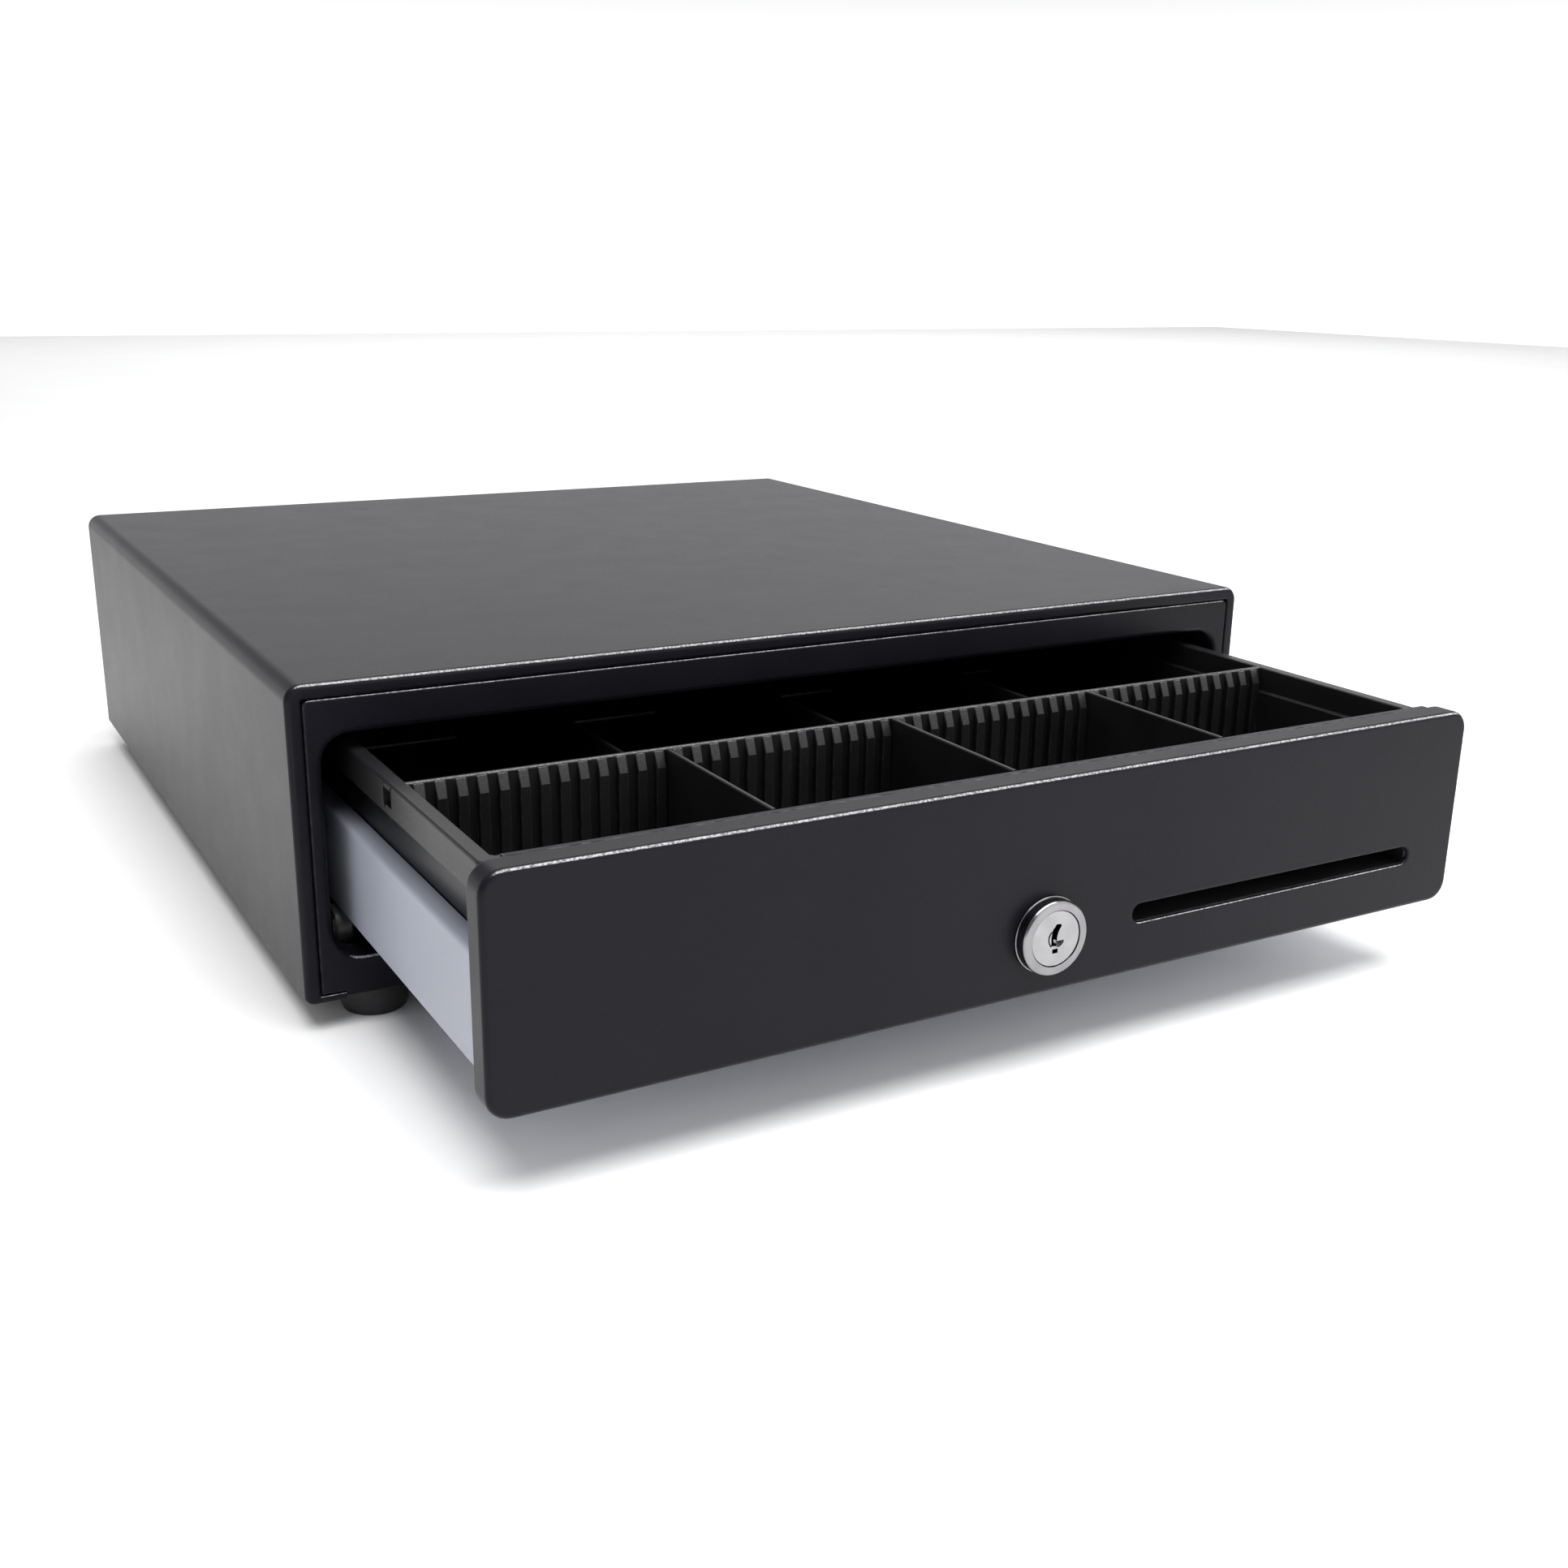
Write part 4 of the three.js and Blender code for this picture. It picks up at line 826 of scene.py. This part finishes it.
def drawer_back():
    low, high = corners("drawer_back")
    plate_y = high.y - SHEET
    outline = rounded([(low.x, low.z, 1), (high.x, low.z, 1), (high.x, high.z, 3), (low.x, high.z, 3)],
                      closed=True)
    back = make("tray_back", prism(outline, "y", plate_y, high.y))
    tab = high.x - SHEET - 0.3  # outside of the tabs that are riveted to the tray's sides
    for _, side in SIDES:
        fuse(back, block(*on_side(side, tab, tab - SHEET), low.y, plate_y + 0.4,
                         low.z + SHEET + 0.3, tray_high.z - SHEET - 0.3))
    for x in (-120, 60):
        raised = rounded_rectangle(x, x + 60, low.z + 12, low.z + 20, 3.9)
        fuse(back, prism(raised, "y", plate_y - 1.2, plate_y + 0.2))
    dress(back, "drawer", "grey_steel", ["drawer_back"], edge=0.35, segments=3)
    for name, side in SIDES:
        rivets = [(side * (tab - SHEET), low.y + 4.5, z) for z in (45, 62)]
        screws(f"tray_rivets_{name}", rivets, "x", -side, 2.2, 0.8, "drawer")


drawer_front()
front_stiffener()
drawer_tray()
drawer_back()

# -------------------- lock

FLANGE = (lock_high.x - lock_low.x) / 2
FACE = lock_low.y
HEAD = 9.45  # radius of the plug's head


def lock_body():
    panel = FACE + 5  # where the drawer's front is
    bore, collar, barrel, plug_hole = HEAD + 0.22, FLANGE + 0.28, 9.4, 6.5
    profile = rounded([
        (bore, FACE, 0.1), (FLANGE, FACE, 1.15), (FLANGE, panel - 0.75, 0.03), (collar, panel - 0.7, 0.12),
        (collar, panel - 0.3, 0.03), (barrel, panel - 0.3), (barrel, lock_high.y, 0.4),
        (plug_hole, lock_high.y), (plug_hole, FACE + 2.9), (bore, FACE + 2.9)], closed=True, steps=5)
    body = make("lock_barrel", lathe(profile, "y", LOCK_AXIS, 128))
    dress(body, "drawer", "chrome", ["lock_body"], edge=0.05)


def lock_plug():
    low, high = corners("lock_plug")
    radius, shoulder, rear = 6.2, low.y + 2.3, high.y - 2.5
    profile = rounded([(0, low.y), (HEAD, low.y, 0.22), (HEAD, shoulder, 0.1), (radius, shoulder),
                       (radius, rear, 0.3), (0, rear)], steps=4)
    plug = make("lock_plug_turned", lathe(profile, "y", LOCK_AXIS, 128))

    def pocket(points, depth):
        """A cut into the plug's face, its outline given about the plug's axis."""
        outline = [(x, LOCK_Z + z) for x, z in points]
        return prism(outline, "y", low.y - 1, low.y + depth)

    keyway = [(-1.7, -2.4), (0.5, -2.7), (0.5, 0.4), (0.8, 1.8), (1.35, 3.0), (2.15, 4.1, 0.2),
              (1.7, 4.8, 0.3), (-0.1, 4.9, 0.3), (-0.6, 4.0), (-1.3, 3.4), (-1.6, 2.2), (-1.8, 0.6)]
    quarter = [math.radians(angle) for angle in range(15, 91, 15)]
    ward = [(0.4, -0.9), (3.4, -0.9)]
    ward += [(0.6 + 2.8 * math.cos(a), -0.9 - 2.3 * math.sin(a)) for a in quarter]
    sweep = [math.radians(132 + 8 * k) for k in range(13)]
    crescent = [(0.35 + 3.45 * math.cos(a), 3.6 * math.sin(a)) for a in sweep]
    crescent += [(0.95 + 3.45 * math.cos(a), 3.3 * math.sin(a)) for a in reversed(sweep)]
    diagonal = Matrix.Rotation(math.pi / 4, 2)
    square = [diagonal @ Vector(corner) for corner in rectangle(-3, 3, -3, 3)]
    fuse(plug, prism([(v.x, LOCK_Z + v.y) for v in square], "y", rear - 1, high.y))
    carve(plug, pocket(rounded(keyway, 0.12, closed=True, steps=2), 16), pocket(ward, 1.6),
          pocket(crescent, 0.9), pocket(rectangle(-1.15, 1.05, -5.05, -3.55), 4),
          cylinder("y", high.y - 6, high.y + 1, LOCK_AXIS, 1.6, 32))
    dress(plug, "lock_cylinder", "chrome", ["lock_plug"], edge=0.06, look="satin_chrome")


def lock_nut():
    low, high = corners("lock_nut")
    radius, thread, mouth = max(high.x - low.x, high.z - low.z) / 2, 9.7, 9.9
    angles = [math.tau * k / 6 for k in range(6)]
    hexagon = [(radius * math.cos(a), LOCK_Z + radius * math.sin(a)) for a in angles]
    nut = make("lock_ring_nut", prism(hexagon, "y", low.y, high.y))
    carve(nut, lathe([(0, low.y - 1), (mouth, low.y - 1), (thread, low.y + 0.5), (thread, high.y - 0.5),
                      (mouth, high.y + 1), (0, high.y + 1)], "y", LOCK_AXIS))
    dress(nut, "drawer", "zinc_steel", ["lock_nut"], edge=0.4, segments=3)


lock_body()
lock_plug()
lock_nut()

# -------------------- till

till_low, till_high = corners("till_tray")
TILL_TOP = till_high.z
BAND_BOTTOM, TILL_FLOOR, WALL = 87, 60, 1.8
BAND, LEDGE = 5.5, 7.2  # from the outside to the upper and to the lower inner wall
CROSS_Y = DRAWER_Y + 95.5
COMB_PITCH, COMB_COUNT, RIB, RIB_DEPTH, LEAD_IN = 6.885, 52, 3.6, 2.5, 5.4
DIVIDER_X = (-89.5, 0, 89.5)
LEAD_IN_SHARP = math.radians(21)  # keeps the comb's sloping tops flat in the shading


def till_shell():
    """One skin, from under the floor up the outside, over the rim and down the inside to the floor."""
    outside, hollow = LEDGE - WALL, BAND - WALL
    skin = rounded([
        (outside + 8, TILL_FLOOR - WALL), (outside, TILL_FLOOR - WALL, 3), (outside, BAND_BOTTOM - 0.6, 0.5),
        (hollow, BAND_BOTTOM + 0.4, 0.3), (hollow, TILL_TOP - WALL, 0.4), (WALL, TILL_TOP - WALL, 0.4),
        (WALL, BAND_BOTTOM, 0.3), (0, BAND_BOTTOM, 0.5), (0, TILL_TOP, 1.3), (BAND, TILL_TOP, 0.8),
        (BAND, BAND_BOTTOM + 1.5, 0.4), (LEDGE, BAND_BOTTOM + 1.5, 0.4), (LEDGE, TILL_FLOOR, 2),
        (LEDGE + 8, TILL_FLOOR)], steps=4)
    return loft([[place("z", z, *p) for p in rounded_rectangle(
        till_low.x + step, till_high.x - step, till_low.y + step, till_high.y - step,
        max(4.5 - step * 0.35, 0.4))] for step, z in skin], capped=True)


def comb_ribs(wall_y, out):
    """Upright ribs on a wall, with sloping tops that lead a divider in."""
    top = TILL_TOP - 0.6
    section = [(wall_y - out * 0.5, TILL_FLOOR - 0.5), (wall_y - out * 0.5, top), (wall_y + out * 0.25, top),
               (wall_y + out * RIB_DEPTH, top - LEAD_IN), (wall_y + out * RIB_DEPTH, TILL_FLOOR - 0.5)]
    middles = [(i - (COMB_COUNT - 1) / 2) * COMB_PITCH for i in range(COMB_COUNT)]
    ribs = make("ribs", *[prism(section, "x", x - RIB / 2, x + RIB / 2) for x in middles])
    round_edges(ribs, 0.35, 2)
    bake(ribs)
    return ribs


def till_tray():
    till = make("till_insert", till_shell())
    for half, z0, z1, edge in ((till_high.x - LEDGE + 0.9, TILL_FLOOR - 0.5, BAND_BOTTOM + 1.2, 0.01),
                               (till_high.x - BAND + 0.9, BAND_BOTTOM + 1.1, TILL_TOP, 0.8)):
        y0, y1 = CROSS_Y - 1, CROSS_Y + 1
        section = rounded([(y0, z0), (y1, z0), (y1, z1, edge), (y0, z1, edge)], closed=True, steps=4)
        fuse(till, prism(section, "x", -half, half))
    boolean(till, comb_ribs(CROSS_Y - 1, -1), "UNION")
    boolean(till, comb_ribs(till_low.y + LEDGE, 1), "UNION")
    legs = [block(*on_side(side, 168, 178), y, y + 10, till_low.z, TILL_FLOOR - 1, radius=1.5)
            for _, side in SIDES for y in (DRAWER_Y + 25, DRAWER_Y + 165, DRAWER_Y + 305)]
    rear = till_high.y - LEDGE
    note_guides = [block(near, near + 2, y0, y1, TILL_FLOOR - 0.5, BAND_BOTTOM)
                   for x in DIVIDER_X for near in (x - 3.4, x + 1.4)
                   for y0, y1 in ((CROSS_Y + 0.5, CROSS_Y + 4), (rear - 3, rear + 0.5))]
    fuse(till, together(legs), together(note_guides))
    rod_low, rod_high = corners("clip_rod")
    rod_middle, rod_hole = middle_across("x", "clip_rod"), 1.8
    carve(till, cylinder("x", rod_low.x - 0.6, rod_high.x + 0.6, rod_middle, rod_hole, 32))
    catch_front, catch_rear = CROSS_Y - 1.2, CROSS_Y + 5.6
    catch_low, catch_high = BAND_BOTTOM + 3.1, TILL_TOP - 1.8
    for _, side in SIDES:
        carve(till, block(*on_side(side, till_high.x - WALL - 0.4, till_high.x + 1),
                          catch_front, catch_rear, catch_low, catch_high))
        reach = on_side(side, till_high.x - 0.5, till_high.x + 0.45)
        fuse(till, together([
            block(*reach, catch_rear, catch_rear + 1.1, catch_low - 1, catch_high + 0.9),
            block(*reach, catch_front, catch_rear + 0.5, catch_high, catch_high + 0.9)]))
    dress(till, "drawer", "till_plastic", ["till_tray"], edge=0, sharp=LEAD_IN_SHARP)


def dividers():
    for kind in ("coin", "note"):
        for place_name in ("left", "centre", "right"):
            node_name = f"{kind}_divider_{place_name}"
            low, high = corners(node_name)
            middle = (low.x + high.x) / 2
            section = rounded([(low.x, low.z), (high.x, low.z), (high.x, high.z, 0.8), (low.x, high.z, 0.8)],
                              closed=True, steps=4)
            divider = make(f"{kind}_partition_{place_name}", prism(section, "y", low.y, high.y))
            fuse(divider, block(middle - 1.25, middle + 1.25, low.y, low.y + 3, low.z, high.z - 8, 0.6))
            dress(divider, "drawer", "till_plastic", [node_name], edge=0.25)


def note_clips():
    """Sprung arms on a rod: a barrel, a ribbed arm that drops to the bin's floor and a turned-up foot."""
    length, half, barrel_half, bore = 80, 23, 29, 1.85
    drop = math.radians(20)
    arm = rounded([(-half, -length + 5, 5), (half, -length + 5, 5), (half, 0.5, 1), (-half, 0.5, 1)],
                  closed=True)
    foot = rounded([(-length + 8, 0), (-length + 8, 1.6), (-length, 5, 0.6), (-length - 0.8, 3.6, 0.6)],
                   closed=True, steps=3)
    ribs = [block(x - 0.7, x + 0.7, -length + 12, -2, 1.2, 2.6, radius=0.6) for x in (-15, -5, 5, 15)]
    for number in range(1, 5):
        node_name = f"note_clip_{number}"
        low, high = corners(node_name)
        pivot = Vector(((low.x + high.x) / 2, *middle_across("x", "clip_rod")))
        clip = make(f"note_arm_{number}", prism(arm, "z", 0, 1.6))
        fuse(clip, prism(foot, "x", -half + 1.5, half - 1.5), together(ribs),
             rod("x", -barrel_half, barrel_half, (0, 0), 3.2, 0.5))
        carve(clip, cylinder("x", -barrel_half - 2, barrel_half + 2, (0, 0), bore, 32))
        clip.data.transform(Matrix.Translation(pivot * MM) @ Matrix.Rotation(drop, 4, "X"))
        dress(clip, node_name, "till_plastic", [node_name], edge=0.2)


def clip_rod():
    low, high = corners("clip_rod")
    centre = middle_across("x", "clip_rod")
    shaft = make("clip_shaft", rod("x", low.x, high.x, centre, (high.z - low.z) / 2, 0.4))
    dress(shaft, "drawer", "zinc_steel", ["clip_rod"], edge=0)


till_tray()
dividers()
clip_rod()
note_clips()

# -------------------- latch, solenoid, ejector, switch and jack


def refined(node_name, new_name, body="housing", slot="zinc_steel", edge=0.3):
    """A copy of a CAD node with its flats made whole and its edges rounded."""
    bm = bmesh.new()
    bm.from_mesh(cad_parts[node_name].data)
    bmesh.ops.remove_doubles(bm, verts=bm.verts, dist=2e-6)
    bmesh.ops.dissolve_limit(bm, angle_limit=math.radians(1), verts=bm.verts, edges=bm.edges)
    dress(from_bmesh(new_name, bm), body, slot, [node_name], edge=edge, segments=3)


def solenoid_coil():
    """A bobbin, with its outer layer of wire wound side by side."""
    low, high = corners("solenoid_coil")
    flange, core, wire = 2.0, 4.4, 0.9
    radius = (high.z - low.z) / 2
    wound = radius - 1.6
    start, end = low.x + flange, high.x - flange
    profile = [(core, low.x), (radius, low.x), (radius, start), (wound, start)]
    for i in range(int((high.x - low.x - 2 * flange) / wire)):
        for k in range(6):
            angle = math.pi * k / 6
            profile.append((wound + wire / 2 * math.sin(angle),
                            start + wire * (i + 0.5 - math.cos(angle) / 2)))
    profile += [(wound, end), (radius, end), (radius, high.x), (core, high.x)]
    centre = middle_across("x", "solenoid_coil")
    coil = make("solenoid_winding", lathe(profile, "x", centre))
    dress(coil, "housing", "coil_winding", ["solenoid_coil"], edge=0)


def spring(name, node_name, axis, wire, turns):
    """A wire helix from a moving lower end to a fixed upper end."""
    low, high = corners(node_name)
    along = "xyz".index(axis)
    start, end = low[along] + wire, high[along] - wire
    u0, u1 = middle_across(axis, node_name)
    radius = (high.z - low.z) / 2 - wire
    closed_turns = 0.75  # wound close at each end
    steps = turns * 28
    points = []
    for i in range(steps + 1):
        share = i / steps
        eased = min(max((share * turns - closed_turns) / (turns - 2 * closed_turns), 0), 1)
        angle = math.tau * turns * share
        points.append(place(axis, start + (end - start) * (0.04 * share + 0.96 * eased),
                            u0 + radius * math.cos(angle), u1 + radius * math.sin(angle)))
    helix = make(name, tube(points, wire, 10))
    helix.data.shade_smooth()
    helix.data.materials.append(FINISHES["spring_steel"])
    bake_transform(helix)
    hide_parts(node_name)


def smooth_line(points):
    """A Catmull-Rom curve through points."""
    per_span = 10
    points = [Vector(p) for p in points]
    line = []
    for i, (a, b) in enumerate(zip(points, points[1:])):
        before, after = points[max(i - 1, 0)], points[min(i + 2, len(points) - 1)]
        for k in range(per_span):
            t = k / per_span
            line.append(0.5 * (2 * a + (b - before) * t + (2 * before - 5 * a + 4 * b - after) * t ** 2
                               + (3 * a - before - 3 * b + after) * t ** 3))
    return line + [points[-1]]


LEADS = {  # radius, and the route's points from the jack, y being the distance behind the housing's front
    "solenoid_lead": (1.5, [(-120, 394.1, 65), (-116, 388, 67), (-90, 392, 68), (-40, 396, 68), (10, 396, 68),
                            (34, 391, 66), (40, 386.7, 59)]),
    "switch_lead": (1.1, [(-124, 394.1, 59), (-120, 387, 58), (-90, 384, 54), (-50, 384, 50),
                          (-30, 381, 47.5), (-22.4, 375.4, 47.2)]),
}


def leads():
    for name, (radius, route) in LEADS.items():
        line = smooth_line([(x, HOUSING_Y + y, z) for x, y, z in route])
        wire = make(f"{name}_wire", tube(line, radius, 16))
        dress(wire, "housing", "lead_jacket", [name], edge=0)


def rj_jack():
    low, high = corners("rj_jack")
    face = high.y
    middle = (low.x + high.x) / 2
    bottom, top = low.z + 2, high.z - 2
    body = rounded_rectangle(low.x + 3, high.x - 3, bottom, top, 0.5)
    jack = make("modular_jack", prism(body, "y", low.y, face))
    flange_y = corners("rear_panel")[1].y - SHEET - 0.3
    fuse(jack, block(low.x, high.x, flange_y - 1.8, flange_y, low.z, high.z))
    steps = [(2, bottom + 2.6), (2, bottom + 3.4), (3.2, bottom + 3.4), (3.2, bottom + 5),
             (6, bottom + 5), (6, top - 2.5)]
    mouth = [(middle - x, z) for x, z in reversed(steps)] + [(middle + x, z) for x, z in steps]
    carve(jack, prism(mouth, "y", face - 11, face + 1))
    dress(jack, "housing", "black_plastic", ["rj_jack"], edge=0.2)
    count, pitch = 6, 1.27
    bent = [(face - 10.8, top - 3.2), (face - 6, top - 4.6), (face - 2.2, top - 2.9)]
    contacts = make("jack_contacts", *[
        tube([Vector((middle + (i - (count - 1) / 2) * pitch, y, z)) for y, z in bent], 0.22, 8)
        for i in range(count)])
    dress(contacts, "housing", "zinc_steel", edge=0)


refined("latch_bracket", "latch_bridge")
refined("latch_pivot_pin", "latch_pivot")
refined("latch_hook", "latch_lever", "latch_hook")
refined("solenoid_frame", "solenoid_yoke")
refined("solenoid_plunger", "solenoid_core", "solenoid_plunger")
refined("microswitch_body", "switch_case", slot="black_plastic")
refined("microswitch_lever", "switch_blade", "microswitch_lever", "spring_steel", edge=0.2)
refined("ejector_guide", "ejector_sleeve", slot="black_plastic")
refined("ejector_pusher", "ejector_plunger", "ejector_pusher", "nylon")
refined("lock_keeper", "bolt_keeper")
refined("media_chute", "slip_chute", "drawer", "black_plastic")
refined("striker", "latch_striker", "drawer")
refined("bolt_guide", "bolt_channel", "drawer")
refined("lock_bolt", "sliding_bolt", "lock_bolt")
refined("lock_cam", "cam_plate", "lock_cylinder")
refined("cam_screw", "cam_fixing", "lock_cylinder", edge=0.2)
solenoid_coil()
spring("plunger_return_spring", "plunger_spring", "x", 0.5, 5)
spring("ejector_drive_spring", "ejector_spring", "y", 0.6, 7)
leads()
rj_jack()
